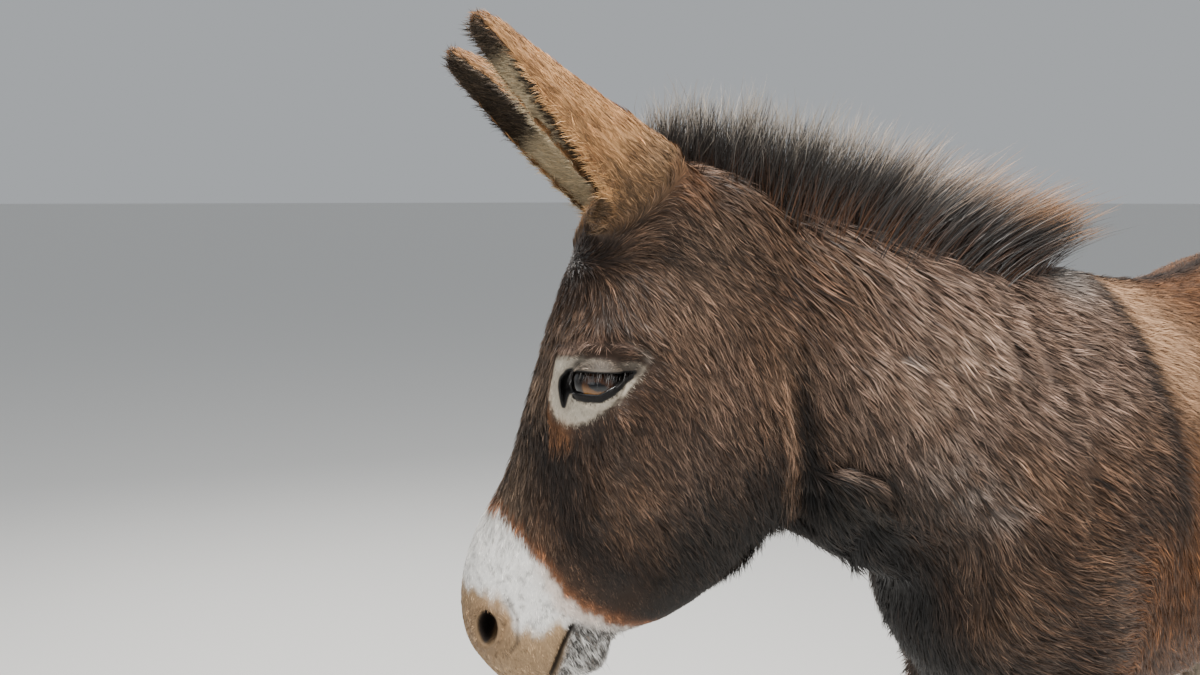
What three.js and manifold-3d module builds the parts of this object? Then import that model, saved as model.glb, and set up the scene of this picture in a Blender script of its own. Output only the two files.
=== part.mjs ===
// A standing donkey, life size, looking round to its right. Millimetres, +X towards the
// chest, +Y to the donkey's left, +Z up. Before the last line the origin is under the
// withers, on the ground.
import * as THREE from 'three';
import { mergeVertices } from 'three/addons/utils/BufferGeometryUtils.js';
import Module from 'manifold-3d';

const wasm = await Module();
wasm.setup();

// Driving dimensions.
const WITHERS_HEIGHT = 1000;
const HEAD_LENGTH = 472;
const HEAD_TURN = THREE.MathUtils.degToRad(-38); // to the donkey's right
const HEAD_DROP = THREE.MathUtils.degToRad(75); // the face below the horizontal
const POLL = new THREE.Vector3(447, -132, 1077);
const EYE_RADIUS = 20;
const EAR_WALL = 7;
const FORELEG_SPREAD = 79; // a leg's axis from the midline
const HINDLEG_SPREAD = 90;
const CORONET = 62; // the top of a hoof, above the ground
const CUT = 0.3; // the gap between neighbouring parts

// Where the head is parted, on its own plane: down the face, out of the forehead.
const MUZZLE_START = 325;
const MOUTH_CORNER = [399, -9];
const CHEEK_LINE = [[-60, -52], [330, -232]]; // from the poll to the throat

// Where the body and the legs are parted: along the body, above the ground.
const SHOULDER_LINE = [[-4, 1040], [300, 612]];
const LAST_RIB = -330;
const THIGH_TOP = [[-800, 702], [-458, 690]];
const THIGH_FRONT = [[-458, 690], [-480, 520]];
const ELBOW = 524;
const KNEE_TOP = 327;
const HOCK_TOP = 458;
const HOCK_FOOT = 306;
const GASKIN_TOP = [[-780, 650], [-440, 580]];
const FETLOCK_TOP = 160;
const BRUSH_START = 655;
const RIGHT_THROUGH = 400; // wider than the body
const LEG_WIDTH = 140; // wider than a leg, narrower than the body

const LEFT = 1;
const RIGHT = -1;
const SIDES = [['left', LEFT], ['right', RIGHT]];

const COLOURS = {
  coat: 0x4a362b,
  rump: 0x6e4a30,
  muzzle: 0xcfc6bb,
  ear: 0x8a5c3c,
  mane: 0x3b3735,
  legs: 0x8d7c6c,
  hoof: 0x3a3430,
  eye: 0x160f0c,
};

// ---------------------------------------------------------------------------------
// Shaping

function solid(geometry) {
  geometry.deleteAttribute('normal');
  geometry.deleteAttribute('uv');
  const merged = mergeVertices(geometry, 0.001);
  return new wasm.Manifold(new wasm.Mesh({
    numProp: 3,
    vertProperties: Float32Array.from(merged.attributes.position.array),
    triVerts: Uint32Array.from(merged.index.array),
  }));
}

function ellipsoid(centre, radii, sides = 16, rings = 10) {
  return solid(new THREE.SphereGeometry(1, sides, rings)).scale(radii).translate(centre);
}

// A body part as rings on a smooth course through its rows. A row starts with the place
// of its ring along the part, and section(place, values) gives the ring's centre, its
// two half-axes and how round it is above and below.
function loft(rows, section, sides, spans = 1) {
  const places = rows.map((row) => row[0]);
  const course = new THREE.CubicInterpolant(
    places, rows.flatMap((row) => row.slice(1)), rows[0].length - 1);
  const steps = (rows.length - 1) * spans;
  const tube = new THREE.CylinderGeometry(1, 1, 1, sides, steps);
  const points = tube.attributes.position;
  for (let i = 0; i < points.count; i += 1) {
    const step = Math.round((points.getY(i) + 0.5) * steps);
    const row = Math.min(Math.floor(step / spans), rows.length - 2);
    const part = step / spans - row;
    const place = THREE.MathUtils.lerp(places[row], places[row + 1], part);
    const ring = section(place, Array.from(course.evaluate(place)));
    const across = points.getX(i);
    const above = points.getZ(i);
    const round = above > 0 ? ring.roundTop : ring.roundBottom;
    const rise = above > 0 ? ring.top : ring.bottom;
    const spot = ring.centre.clone()
      .addScaledVector(ring.side, Math.sign(across) * Math.abs(across) ** (2 / round))
      .addScaledVector(rise, Math.abs(above) ** (2 / round));
    points.setXYZ(i, spot.x, spot.y, spot.z);
  }
  return solid(tube);
}

// A part that runs along X: place, top, bottom, height of the widest level, half-width,
// roundness above and below.
function along(x, [top, bottom, widest, half, roundTop, roundBottom]) {
  return {
    centre: new THREE.Vector3(x, 0, widest),
    side: new THREE.Vector3(0, -half, 0),
    top: new THREE.Vector3(0, 0, top - widest),
    bottom: new THREE.Vector3(0, 0, bottom - widest),
    roundTop,
    roundBottom,
  };
}

// A part that stands on Z: place, x and y of the centre, half-depth along X, half-width.
function upright(z, [x, y, depth, half]) {
  return {
    centre: new THREE.Vector3(x, y, z),
    side: new THREE.Vector3(0, half, 0),
    top: new THREE.Vector3(depth, 0, 0),
    bottom: new THREE.Vector3(-depth, 0, 0),
    roundTop: 2.2,
    roundBottom: 2.2,
  };
}

const headPlace = new THREE.Matrix4()
  .makeRotationFromEuler(new THREE.Euler(0, HEAD_DROP, HEAD_TURN, 'ZYX'))
  .setPosition(POLL);
const onHead = (part) => part.transform(headPlace.elements);

// ---------------------------------------------------------------------------------
// Trunk

const TRUNK = [
  [-748, 812, 788, 800, 10, 2, 2],
  [-738, 860, 745, 802, 60, 2, 2],
  [-705, 918, 702, 812, 102, 2.1, 2.1],
  [-650, 962, 680, 826, 130, 2.1, 2.1],
  [-580, 992, 660, 834, 147, 2.1, 2.1],
  [-500, 1002, 628, 820, 153, 2.1, 2.2],
  [-420, 994, 566, 782, 159, 2, 2.2],
  [-330, 982, 520, 740, 170, 1.9, 2.2],
  [-230, 977, 498, 720, 176, 1.8, 2.2],
  [-100, 986, 498, 726, 167, 1.6, 2.2],
  [0, WITHERS_HEIGHT, 512, 736, 150, 1.5, 2.2],
  [70, 985, 532, 736, 140, 1.6, 2.1],
  [140, 945, 552, 726, 124, 1.8, 2],
  [195, 878, 590, 716, 98, 2, 2],
  [228, 798, 638, 712, 62, 2, 2],
  [240, 730, 694, 712, 14, 2, 2],
];
const trunk = loft(TRUNK, along, 18, 2);

// ---------------------------------------------------------------------------------
// Neck: its plan is a curve from the withers that ends on the line of the head

const heading = new THREE.Vector2(Math.cos(HEAD_TURN), Math.sin(HEAD_TURN));
const poll = new THREE.Vector2(POLL.x, POLL.y);
const neckPlan = new THREE.CubicBezierCurve(
  new THREE.Vector2(-60, 0),
  new THREE.Vector2(150, 0),
  poll.clone().addScaledVector(heading, -170),
  poll.clone().addScaledVector(heading, 30),
);

// A ring stands on the neck's plan, leaning so that its crest is at one place on the
// plan and its underline at another: place, height of the crest, place and height of
// the underline, half-width, how far up the widest level is.
function onNeck(place, [crest, under, underline, half, widest]) {
  const top = neckPlan.getPoint(place);
  const low = neckPlan.getPoint(under);
  const course = neckPlan.getTangent((place + under) / 2);
  const crown = new THREE.Vector3(top.x, top.y, crest);
  const throat = new THREE.Vector3(low.x, low.y, underline);
  const centre = throat.clone().lerp(crown, widest);
  return {
    centre,
    side: new THREE.Vector3(course.y, -course.x, 0).multiplyScalar(half),
    top: crown.sub(centre),
    bottom: throat.sub(centre),
    roundTop: 1.6,
    roundBottom: 1.9,
  };
}

const NECK = [
  [0.02, 975, 0.1, 610, 92, 0.5],
  [0.12, 998, 0.38, 636, 102, 0.45],
  [0.25, 1004, 0.49, 678, 98, 0.45],
  [0.4, 1021, 0.56, 696, 88, 0.45],
  [0.56, 1044, 0.64, 712, 78, 0.45],
  [0.72, 1064, 0.72, 742, 70, 0.48],
  [0.86, 1082, 0.82, 782, 63, 0.5],
  [0.95, 1070, 0.9, 870, 50, 0.5],
];
const neck = loft(NECK, onNeck, 18, 2);

// ---------------------------------------------------------------------------------
// Head, in its own place: X from the poll down the face, Y to the left, Z out of the
// forehead

const HEAD = [
  [-22, 6, -66, -30, 30, 2, 2],
  [-8, 38, -96, -26, 50, 2.1, 1.9],
  [20, 58, -122, -14, 64, 2.3, 1.8],
  [56, 68, -142, 0, 76, 2.4, 1.7],
  [100, 72.5, -154, 10, 86, 2.5, 1.6],
  [140, 74.5, -165, 20, 93, 2.5, 1.5],
  [175, 76, -176, 24, 96, 2.4, 1.5],
  [205, 77, -185, 18, 91, 2.3, 1.55],
  [240, 78, -189, 4, 80, 2.2, 1.65],
  [270, 79, -181, -8, 69, 2.1, 1.8],
  [300, 82, -163, -8, 58, 2.1, 1.9],
  [330, 88, -144, 4, 52, 2.1, 1.9],
  [360, 93, -124, 18, 50, 2.2, 1.9],
  [385, 92.5, -98, 28, 52, 2.2, 1.9],
  [405, 89, -56, 32, 55, 2.2, 2],
  [425, 82.5, -40, 28, 56, 2.2, 2],
  [443, 72, -28, 20, 51, 2.1, 2],
  [457, 55, -16, 17, 41, 2, 2],
  [467, 40, -4, 17, 26, 2, 2],
  [HEAD_LENGTH, 27, 9, 18, 8, 2, 2],
];
const skull = loft(HEAD, along, 22, 1);
const cheeks = ellipsoid([196, 0, -82], [92, 68, 84], 16, 8);
const chin = ellipsoid([423, 0, -27], [29, 36, 29], 12, 8);
const browRidges = SIDES.map(([, side]) => ellipsoid([160, side * 66, 40], [42, 30, 24], 10, 6));

const EYE_PLACE = [182, 77, 30];
const NOSTRIL_PLACE = [417, 50, 62];
const eyeBall = (side, radius) => ellipsoid(
  [EYE_PLACE[0], side * EYE_PLACE[1], EYE_PLACE[2]], [radius, radius, radius], 12, 8);
const nostril = (side) => ellipsoid([0, 0, 0], [11, 14, 6], 8, 6)
  .rotate([side * 40, 0, side * -20])
  .translate([NOSTRIL_PLACE[0], side * NOSTRIL_PLACE[1], NOSTRIL_PLACE[2]]);

// ---------------------------------------------------------------------------------
// Ears: a cup, open towards the front, on an axis from its base to its tip. Each is
// twisted, and turned by so many degrees to the donkey's left at its base and at its tip.

const EARS = {
  left: { base: [56, 46, -2], tip: [-78, 96, 203], turn: [-12, 27] },
  right: { base: [52, -46, -10], tip: [-63, -84, 217], turn: [22, 42] },
};

// place, half-width, half-depth, how far the axis is bowed towards the opening
const EAR_OUTSIDE = [
  [-0.24, 22, 30, 0],
  [-0.1, 36, 48, -5],
  [0.1, 42, 54, -9],
  [0.25, 44, 49, -9],
  [0.42, 41, 40, -7],
  [0.6, 36, 30, -4],
  [0.76, 28, 21, -2],
  [0.9, 20, 14, 0],
  [0.97, 13, 10, 1],
  [1, 6, 5, 2],
];
const EAR_INSIDE = [
  [0.14, 10, 18, 0],
  [0.2, 26, 40, 0],
  ...EAR_OUTSIDE.slice(3, 9).map(([place, half, depth, bow]) => [
    place, half - EAR_WALL * 0.8, depth + 3, bow + 3 + EAR_WALL]),
  [1.02, 14, 14, 12],
];

function ear({ base, tip, turn }) {
  const foot = new THREE.Vector3(...base);
  const axis = new THREE.Vector3(...tip).sub(foot);
  const up = axis.clone().normalize();
  const down = new THREE.Vector3(1, 0, 0);
  down.addScaledVector(up, -down.dot(up)).normalize();
  const ring = (place, [half, depth, bow]) => {
    const turned = THREE.MathUtils.lerp(turn[0], turn[1], THREE.MathUtils.clamp(place, 0, 1) ** 2);
    const opening = down.clone().applyAxisAngle(up, THREE.MathUtils.degToRad(turned));
    const side = new THREE.Vector3().crossVectors(up, opening);
    return {
      centre: foot.clone().addScaledVector(axis, place).addScaledVector(opening, bow),
      side: side.multiplyScalar(half),
      top: opening.clone().multiplyScalar(depth),
      bottom: opening.clone().multiplyScalar(-depth),
      roundTop: 2,
      roundBottom: 2,
    };
  };
  return loft(EAR_OUTSIDE, ring, 12).subtract(loft(EAR_INSIDE, ring, 12));
}

// ---------------------------------------------------------------------------------
// Mane: a stiff upright crest of hair on the neck, as place along the neck, height of its
// top, how far down it starts, half its thickness

const MANE = [
  [0.13, 1040, 30, 10],
  [0.17, 1066, 60, 16],
  [0.27, 1085, 80, 22],
  [0.42, 1100, 85, 25],
  [0.58, 1121, 90, 26],
  [0.72, 1144, 90, 27],
  [0.84, 1157, 90, 27],
  [0.93, 1160, 88, 24],
  [0.99, 1146, 70, 14],
];
function onCrest(place, [top, tall, half]) {
  const spot = neckPlan.getPoint(place);
  const course = neckPlan.getTangent(place);
  return {
    centre: new THREE.Vector3(spot.x, spot.y, top - tall),
    side: new THREE.Vector3(course.y, -course.x, 0).multiplyScalar(half),
    top: new THREE.Vector3(0, 0, tall),
    bottom: new THREE.Vector3(0, 0, -tall * 0.5),
    roundTop: 1.5,
    roundBottom: 2,
  };
}
const crest = loft(MANE, onCrest, 10, 1);

// ---------------------------------------------------------------------------------
// Legs, on the left side at first: height, x and y of the axis, half-depth, half-width

const FORELEG = [
  [CORONET, 74, FORELEG_SPREAD, 25, 26],
  [88, 65, FORELEG_SPREAD, 23, 22],
  [116, 55, FORELEG_SPREAD, 27, 25],
  [138, 56, FORELEG_SPREAD, 25, 22],
  [175, 58, FORELEG_SPREAD, 22, 18],
  [232, 59, FORELEG_SPREAD, 23, 19],
  [262, 63, FORELEG_SPREAD, 28, 26],
  [290, 64, FORELEG_SPREAD, 31, 29],
  [328, 63, FORELEG_SPREAD, 29, 26],
  [400, 60, 80, 34, 28],
  [480, 54, 81, 46, 33],
  [560, 40, 83, 65, 39],
  [620, 46, 87, 92, 46],
  [700, 70, 90, 106, 50],
  [790, 66, 84, 98, 46],
  [880, 36, 56, 60, 34],
];
const HINDLEG = [
  [CORONET, -652, HINDLEG_SPREAD, 26, 26],
  [90, -663, HINDLEG_SPREAD, 24, 22],
  [118, -675, HINDLEG_SPREAD, 28, 25],
  [142, -678, HINDLEG_SPREAD, 26, 22],
  [180, -680, HINDLEG_SPREAD, 24, 19],
  [260, -684, HINDLEG_SPREAD, 24, 19],
  [325, -688, HINDLEG_SPREAD, 28, 22],
  [360, -692, HINDLEG_SPREAD, 35, 26],
  [396, -694, HINDLEG_SPREAD, 42, 28],
  [432, -676, 91, 42, 27],
  [482, -644, 94, 51, 30],
  [540, -612, 98, 68, 38],
  [600, -584, 101, 90, 46],
  [670, -574, 101, 112, 54],
  [750, -584, 96, 126, 57],
  [840, -588, 88, 128, 58],
  [920, -570, 72, 96, 48],
];
const hoof = (x, spread) => [
  [0, x + 16, spread, 45, 38],
  [10, x + 14, spread, 43.5, 37],
  [CORONET - 8, x + 3, spread, 32, 31],
  [CORONET - CUT, x, spread, 26.5, 27.5],
];
const FORE_HOOF = hoof(75, FORELEG_SPREAD);
const HIND_HOOF = hoof(-651, HINDLEG_SPREAD);
const onSide = (part, side) => (side === LEFT ? part : part.mirror([0, 1, 0]));

const legs = SIDES.flatMap(([, side]) => [
  onSide(loft(FORELEG, upright, 10), side),
  onSide(loft(HINDLEG, upright, 10), side),
]);

// ---------------------------------------------------------------------------------
// Tail: the dock hangs behind the buttocks and ends in a brush of long hair

const DOCK_LINE = new THREE.CatmullRomCurve3([
  new THREE.Vector3(-640, 0, 945),
  new THREE.Vector3(-700, 0, 922),
  new THREE.Vector3(-755, 0, 870),
  new THREE.Vector3(-785, 0, 790),
  new THREE.Vector3(-792, 0, 700),
  new THREE.Vector3(-792, 0, 620),
]);
const BRUSH_LINE = new THREE.CatmullRomCurve3([
  new THREE.Vector3(-792, 0, 660),
  new THREE.Vector3(-792, 0, 540),
  new THREE.Vector3(-786, 0, 420),
  new THREE.Vector3(-778, 0, 330),
]);
const onLine = (line) => (place, [half, depth]) => {
  const course = line.getTangent(place);
  return {
    centre: line.getPoint(place),
    side: new THREE.Vector3(0, -half, 0),
    top: new THREE.Vector3(-course.z, 0, course.x).multiplyScalar(depth),
    bottom: new THREE.Vector3(course.z, 0, -course.x).multiplyScalar(depth),
    roundTop: 2,
    roundBottom: 2,
  };
};
const dock = loft([
  [0, 34, 26], [0.2, 30, 25], [0.45, 23, 21], [0.75, 17, 16], [1, 13, 12],
], onLine(DOCK_LINE), 8, 3);
const brush = loft([
  [0, 15, 14], [0.2, 23, 20], [0.45, 31, 26], [0.7, 27, 22], [0.9, 15, 13], [1, 5, 5],
], onLine(BRUSH_LINE), 8, 2);

// ---------------------------------------------------------------------------------
// The flesh as one body, then parted by thin cuts

const nostrils = SIDES.map(([, side]) => nostril(side));
const sockets = SIDES.map(([, side]) => eyeBall(side, EYE_RADIUS + CUT));
const head = onHead(wasm.Manifold.union([skull, cheeks, chin, ...browRidges])
  .subtract(wasm.Manifold.union([...nostrils, ...sockets])));
const flesh = wasm.Manifold.union([trunk, neck, head, ...legs]);

// A slab as thick as a cut, along a line between two points of the XZ plane of the frame
// that it is made in.
function slab([fromX, fromZ], [toX, toZ], width, y = 0) {
  const length = Math.hypot(toX - fromX, toZ - fromZ);
  const lean = THREE.MathUtils.radToDeg(Math.atan2(toZ - fromZ, toX - fromX));
  return solid(new THREE.BoxGeometry(length, width, CUT))
    .rotate([0, -lean, 0])
    .translate([(fromX + toX) / 2, y, (fromZ + toZ) / 2]);
}

const headCuts = wasm.Manifold.union([
  slab(...CHEEK_LINE, RIGHT_THROUGH),
  slab([MUZZLE_START, -190], [MUZZLE_START + 8, 130], RIGHT_THROUGH),
  slab(MOUTH_CORNER, [HEAD_LENGTH + 20, -1], RIGHT_THROUGH),
  slab(MOUTH_CORNER, [MOUTH_CORNER[0] + 4, -80], RIGHT_THROUGH),
]);
const legCuts = SIDES.flatMap(([, side]) => [
  [[-60, ELBOW], [190, ELBOW]],
  [[20, KNEE_TOP], [140, KNEE_TOP]],
  [[10, FETLOCK_TOP], [130, FETLOCK_TOP]],
  GASKIN_TOP,
  [[-760, HOCK_TOP], [-560, HOCK_TOP]],
  [[-760, HOCK_FOOT], [-600, HOCK_FOOT]],
  [[-740, FETLOCK_TOP], [-600, FETLOCK_TOP]],
].map(([from, to]) => slab(from, to, LEG_WIDTH, side * HINDLEG_SPREAD)));
const betweenThighs = solid(new THREE.BoxGeometry(345, CUT, 200)).translate([-630, 0, 606]);
const bodyCuts = wasm.Manifold.union([
  slab(...SHOULDER_LINE, RIGHT_THROUGH),
  slab([LAST_RIB, 480], [LAST_RIB, WITHERS_HEIGHT + 40], RIGHT_THROUGH),
  slab(...THIGH_TOP, RIGHT_THROUGH),
  slab(...THIGH_FRONT, RIGHT_THROUGH),
  betweenThighs,
]);
const pieces = flesh.subtract(wasm.Manifold.union([
  headCuts.transform(headPlace.elements), bodyCuts, ...legCuts])).decompose();

// The piece of flesh that holds a point.
const PROBE = solid(new THREE.BoxGeometry(2, 2, 2));
const fleshAt = (point) => pieces.find(
  (piece) => !piece.intersect(PROBE.translate(point)).isEmpty());

// A part that grows out of the flesh: what stands clear of it, a cut's width away.
const growing = (part, from, way) => part.subtract(from).translate(
  way.map((step) => step * CUT));

// Each part of the flesh: its name, a point inside it, its colour.
const onFace = (x, y, z) => new THREE.Vector3(x, y, z).applyMatrix4(headPlace).toArray();
const FLESH = [
  ['head', onFace(200, 0, 0), COLOURS.coat],
  ['muzzle', onFace(380, 0, 40), COLOURS.muzzle],
  ['lower_lip', onFace(424, 0, -40), COLOURS.muzzle],
  ['neck', [250, -40, 880], COLOURS.coat],
  ['chest', [-150, 0, 750], COLOURS.coat],
  ['loin_and_croup', [-500, 0, 850], COLOURS.rump],
  ...SIDES.flatMap(([name, side]) => [
    [`forearm_${name}`, [56, side * 82, 450], COLOURS.coat],
    [`fore_cannon_${name}`, [58, side * FORELEG_SPREAD, 200], COLOURS.legs],
    [`fore_pastern_${name}`, [56, side * FORELEG_SPREAD, 110], COLOURS.legs],
    [`thigh_${name}`, [-590, side * 100, 670], COLOURS.rump],
    [`gaskin_${name}`, [-620, side * 95, 540], COLOURS.rump],
    [`hock_${name}`, [-690, side * HINDLEG_SPREAD, 396], COLOURS.legs],
    [`hind_cannon_${name}`, [-684, side * HINDLEG_SPREAD, 240], COLOURS.legs],
    [`hind_pastern_${name}`, [-672, side * HINDLEG_SPREAD, 110], COLOURS.legs],
  ]),
];

// ---------------------------------------------------------------------------------
// The scene: one named mesh for each part

function mesh(name, part, colour, roughness = 0.85) {
  const { vertProperties, triVerts } = part.getMesh();
  const geometry = new THREE.BufferGeometry();
  geometry.setAttribute('position', new THREE.BufferAttribute(vertProperties, 3));
  geometry.setIndex(new THREE.BufferAttribute(triVerts, 1));
  geometry.computeVertexNormals();
  const material = new THREE.MeshStandardMaterial({ color: colour, roughness, metalness: 0 });
  const made = new THREE.Mesh(geometry, material);
  made.name = name;
  return made;
}

const donkey = new THREE.Group();
for (const [name, point, colour] of FLESH) {
  donkey.add(mesh(name, fleshAt(point), colour));
}
for (const [name, side] of SIDES) {
  const shell = onHead(ear(EARS[name]));
  const outward = new THREE.Vector3(-0.2, side, 0.8).transformDirection(headPlace);
  donkey.add(mesh(`ear_${name}`, growing(shell, flesh, outward.toArray()), COLOURS.ear));
  donkey.add(mesh(`eye_${name}`, onHead(eyeBall(side, EYE_RADIUS)), COLOURS.eye, 0.1));
  for (const [leg, rows] of [['fore', FORE_HOOF], ['hind', HIND_HOOF]]) {
    const horn = onSide(loft(rows, upright, 12), side);
    donkey.add(mesh(`${leg}_hoof_${name}`, horn, COLOURS.hoof, 0.55));
  }
}
donkey.add(mesh('mane', growing(crest, flesh, [0, 0, 1]), COLOURS.mane));
const [tail, tailBrush] = growing(dock.add(brush), flesh, [-0.8, 0, 0.6])
  .subtract(slab([-900, BRUSH_START], [-700, BRUSH_START], 200)).decompose()
  .sort((one, other) => other.boundingBox().max[2] - one.boundingBox().max[2]);
donkey.add(mesh('tail', tail, COLOURS.rump));
donkey.add(mesh('tail_brush', tailBrush, COLOURS.mane));

// The origin goes to the middle of the donkey's box, on the ground.
const box = new THREE.Box3().setFromObject(donkey);
const middle = box.getCenter(new THREE.Vector3());
donkey.position.set(-middle.x, -middle.y, -box.min.z);

export default donkey;
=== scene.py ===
# A donkey standing square and looking round to its right: a life-size still model. The
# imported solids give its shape; this script gives it hide, coat, mane, eyes and hooves.
import math

import bmesh
import bpy
import numpy as np
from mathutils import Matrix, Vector, kdtree


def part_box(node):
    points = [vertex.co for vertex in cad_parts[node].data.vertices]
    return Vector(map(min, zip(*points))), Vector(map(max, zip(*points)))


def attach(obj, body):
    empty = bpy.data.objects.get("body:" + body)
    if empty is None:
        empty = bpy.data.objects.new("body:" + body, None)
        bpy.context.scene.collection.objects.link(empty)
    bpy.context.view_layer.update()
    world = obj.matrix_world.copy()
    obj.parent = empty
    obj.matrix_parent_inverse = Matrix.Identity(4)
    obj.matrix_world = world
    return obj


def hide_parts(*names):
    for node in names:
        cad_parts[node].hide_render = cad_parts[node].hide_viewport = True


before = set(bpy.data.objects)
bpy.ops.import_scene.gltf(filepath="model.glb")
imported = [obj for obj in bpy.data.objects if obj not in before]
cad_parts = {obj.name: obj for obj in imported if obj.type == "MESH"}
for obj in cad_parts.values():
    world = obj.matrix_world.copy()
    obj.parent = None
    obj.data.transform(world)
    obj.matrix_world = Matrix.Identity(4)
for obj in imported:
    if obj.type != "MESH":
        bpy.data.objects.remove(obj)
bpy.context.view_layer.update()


# ---------------------------------------------------------------------------------
# Where things are. Places on the head are measured from the poll: down the face, to the
# donkey's left, and out of the forehead. Those on the trunk are measured from the ground
# under the withers, a third of a metre in front of the loin.

EYE_DOWN_FACE = 0.182
EYE_OUT_OF_FACE = 0.030
FACE_DROP = math.radians(75)
LOIN_TO_WITHERS = 0.330
UP = Vector((0, 0, 1))


def middle(node):
    """The middle of a solid's box."""
    low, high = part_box(node)
    return (low + high) / 2


eyes_middle = (middle("eye_left") + middle("eye_right")) / 2
to_left = (middle("eye_left") - middle("eye_right")).normalized()
to_front = to_left.cross(UP)
down_face = to_front * math.cos(FACE_DROP) - UP * math.sin(FACE_DROP)
out_of_face = to_front * math.sin(FACE_DROP) + UP * math.cos(FACE_DROP)
poll = eyes_middle - down_face * EYE_DOWN_FACE - out_of_face * EYE_OUT_OF_FACE
head_axes = np.array([down_face, to_left, out_of_face])
loin_low, loin_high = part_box("loin_and_croup")
withers = np.array([loin_high.x + LOIN_TO_WITHERS, (loin_low.y + loin_high.y) / 2, 0])


def on_head(points):
    """Points of the frame as places on the head."""
    return (points - np.array(poll)) @ head_axes.T


def off_head(places):
    """Places on the head as points of the frame."""
    return np.asarray(places) @ head_axes + np.array(poll)


# ---------------------------------------------------------------------------------
# The studio: a pale floor that runs on to a pale distance, a camera at the height of a
# person's chest, and soft light from a panel overhead, a weak one in front and one behind.

CAMERA_FROM_EYES = Vector((0.8316, 0.8485, 0.1510))
CAMERA_HEADING = math.radians(135)
CAMERA_DIP = math.radians(5.86)
LENS = 40.5
FLOOR_SIZE = 600
FLOOR_COLOUR = (0.76, 0.75, 0.73, 1)
SKY_COLOUR = (0.86, 0.90, 0.94, 1)
SKY_STRENGTH = 0.50
LIT_SPOT = Vector((0.35, 0, 0.9))  # where the lights point: the neck

camera = bpy.data.objects.new("camera", bpy.data.cameras.new("camera"))
camera.data.lens = LENS
camera.data.sensor_width = 36
camera.location = eyes_middle + CAMERA_FROM_EYES
camera.rotation_euler = (math.pi / 2 - CAMERA_DIP, 0, CAMERA_HEADING)
bpy.context.scene.collection.objects.link(camera)
bpy.context.scene.camera = camera


def mesh_of(name, points, faces):
    """A mesh object from arrays of points and of faces with equal numbers of corners."""
    faces = np.asarray(faces, np.int32)
    mesh = bpy.data.meshes.new(name)
    mesh.vertices.add(len(points))
    mesh.vertices.foreach_set("co", np.asarray(points, np.float32).ravel())
    mesh.loops.add(faces.size)
    mesh.loops.foreach_set("vertex_index", faces.ravel())
    mesh.polygons.add(len(faces))
    mesh.polygons.foreach_set("loop_start", np.arange(len(faces), dtype=np.int32) * faces.shape[1])
    mesh.update(calc_edges=True)
    made = bpy.data.objects.new(name, mesh)
    bpy.context.scene.collection.objects.link(made)
    return made


def material(name, roughness, specular=0.3):
    """A new material, with its tree and its shader."""
    made = bpy.data.materials.new(name)
    made.use_nodes = True
    tree = made.node_tree
    shader = tree.nodes["Principled BSDF"]
    shader.inputs["Roughness"].default_value = roughness
    shader.inputs["Specular IOR Level"].default_value = specular
    return made, tree, shader


half = FLOOR_SIZE / 2
floor = mesh_of("floor", [(-half, -half, 0), (half, -half, 0), (half, half, 0), (-half, half, 0)],
                [(0, 1, 2, 3)])
floor_paint, tree, shader = material("floor_paint", 0.85)
shader.inputs["Base Color"].default_value = FLOOR_COLOUR
floor.data.materials.append(floor_paint)

world = bpy.data.worlds.new("studio")
bpy.context.scene.world = world
world.use_nodes = True
backdrop = world.node_tree.nodes["Background"]
backdrop.inputs["Color"].default_value = SKY_COLOUR
backdrop.inputs["Strength"].default_value = SKY_STRENGTH


def panel(name, place, size, watts, colour):
    """A square light that faces the donkey."""
    light = bpy.data.lights.new(name, "AREA")
    light.size = size
    light.energy = watts
    light.color = colour
    made = bpy.data.objects.new(name, light)
    made.location = place
    made.rotation_euler = (LIT_SPOT - made.location).to_track_quat("-Z", "Y").to_euler()
    bpy.context.scene.collection.objects.link(made)


panel("overhead", (0.7, 0.9, 3.5), 1.8, 230, (1.0, 0.98, 0.94))
panel("front_fill", (2.6, 0.2, 1.7), 1.8, 12, (0.95, 0.98, 1.0))
panel("rim", (-0.6, -2.4, 2.6), 1.6, 55, (1.0, 0.97, 0.92))


# ---------------------------------------------------------------------------------
# The hide: one skin from the lips to the tail, over the flesh and under the coat. It is
# stretched over the joined solids, eased over their facets, drawn in by the depth of the
# coat, and then cut finer round the eyes, the nostrils and the mouth.

BARE_OR_LOOSE = ("hoof", "mane", "tail_brush")
WEAVE = 0.0041  # how large the faces of the skin are
SWELL = 0.0018  # closes the cuts between the solids and rounds the rims of the ears
flesh = sorted(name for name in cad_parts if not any(word in name for word in BARE_OR_LOOSE))


def array_of(items, key, width, kind=np.float32):
    """One property of many parts of a mesh, as an array with a row for each."""
    found = np.empty(len(items) * width, kind)
    items.foreach_get(key, found)
    return found.reshape(-1, width)


def corners(name):
    """A node's points and triangles."""
    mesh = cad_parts[name].data
    mesh.calc_loop_triangles()
    return (array_of(mesh.vertices, "co", 3),
            array_of(mesh.loop_triangles, "vertices", 3, np.int32))


def joined(names):
    """The points and triangles of several nodes together."""
    points, triangles, count = [], [], 0
    for name in names:
        some_points, some_triangles = corners(name)
        points.append(some_points)
        triangles.append(some_triangles + count)
        count += len(some_points)
    return np.concatenate(points), np.concatenate(triangles)


def remeshed(name, points, triangles, cell):
    """Solids melted into one even mesh."""
    rough = mesh_of(name, points, triangles)
    rough.modifiers.new("close", "WELD").merge_threshold = 0.00001
    swell = rough.modifiers.new("swell", "DISPLACE")
    swell.mid_level = 0
    swell.strength = SWELL
    even = rough.modifiers.new("even", "REMESH")
    even.mode = "VOXEL"
    even.voxel_size = cell
    graph = bpy.context.evaluated_depsgraph_get()
    mesh = bpy.data.meshes.new_from_object(rough.evaluated_get(graph))
    bpy.data.objects.remove(rough)
    return mesh


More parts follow.
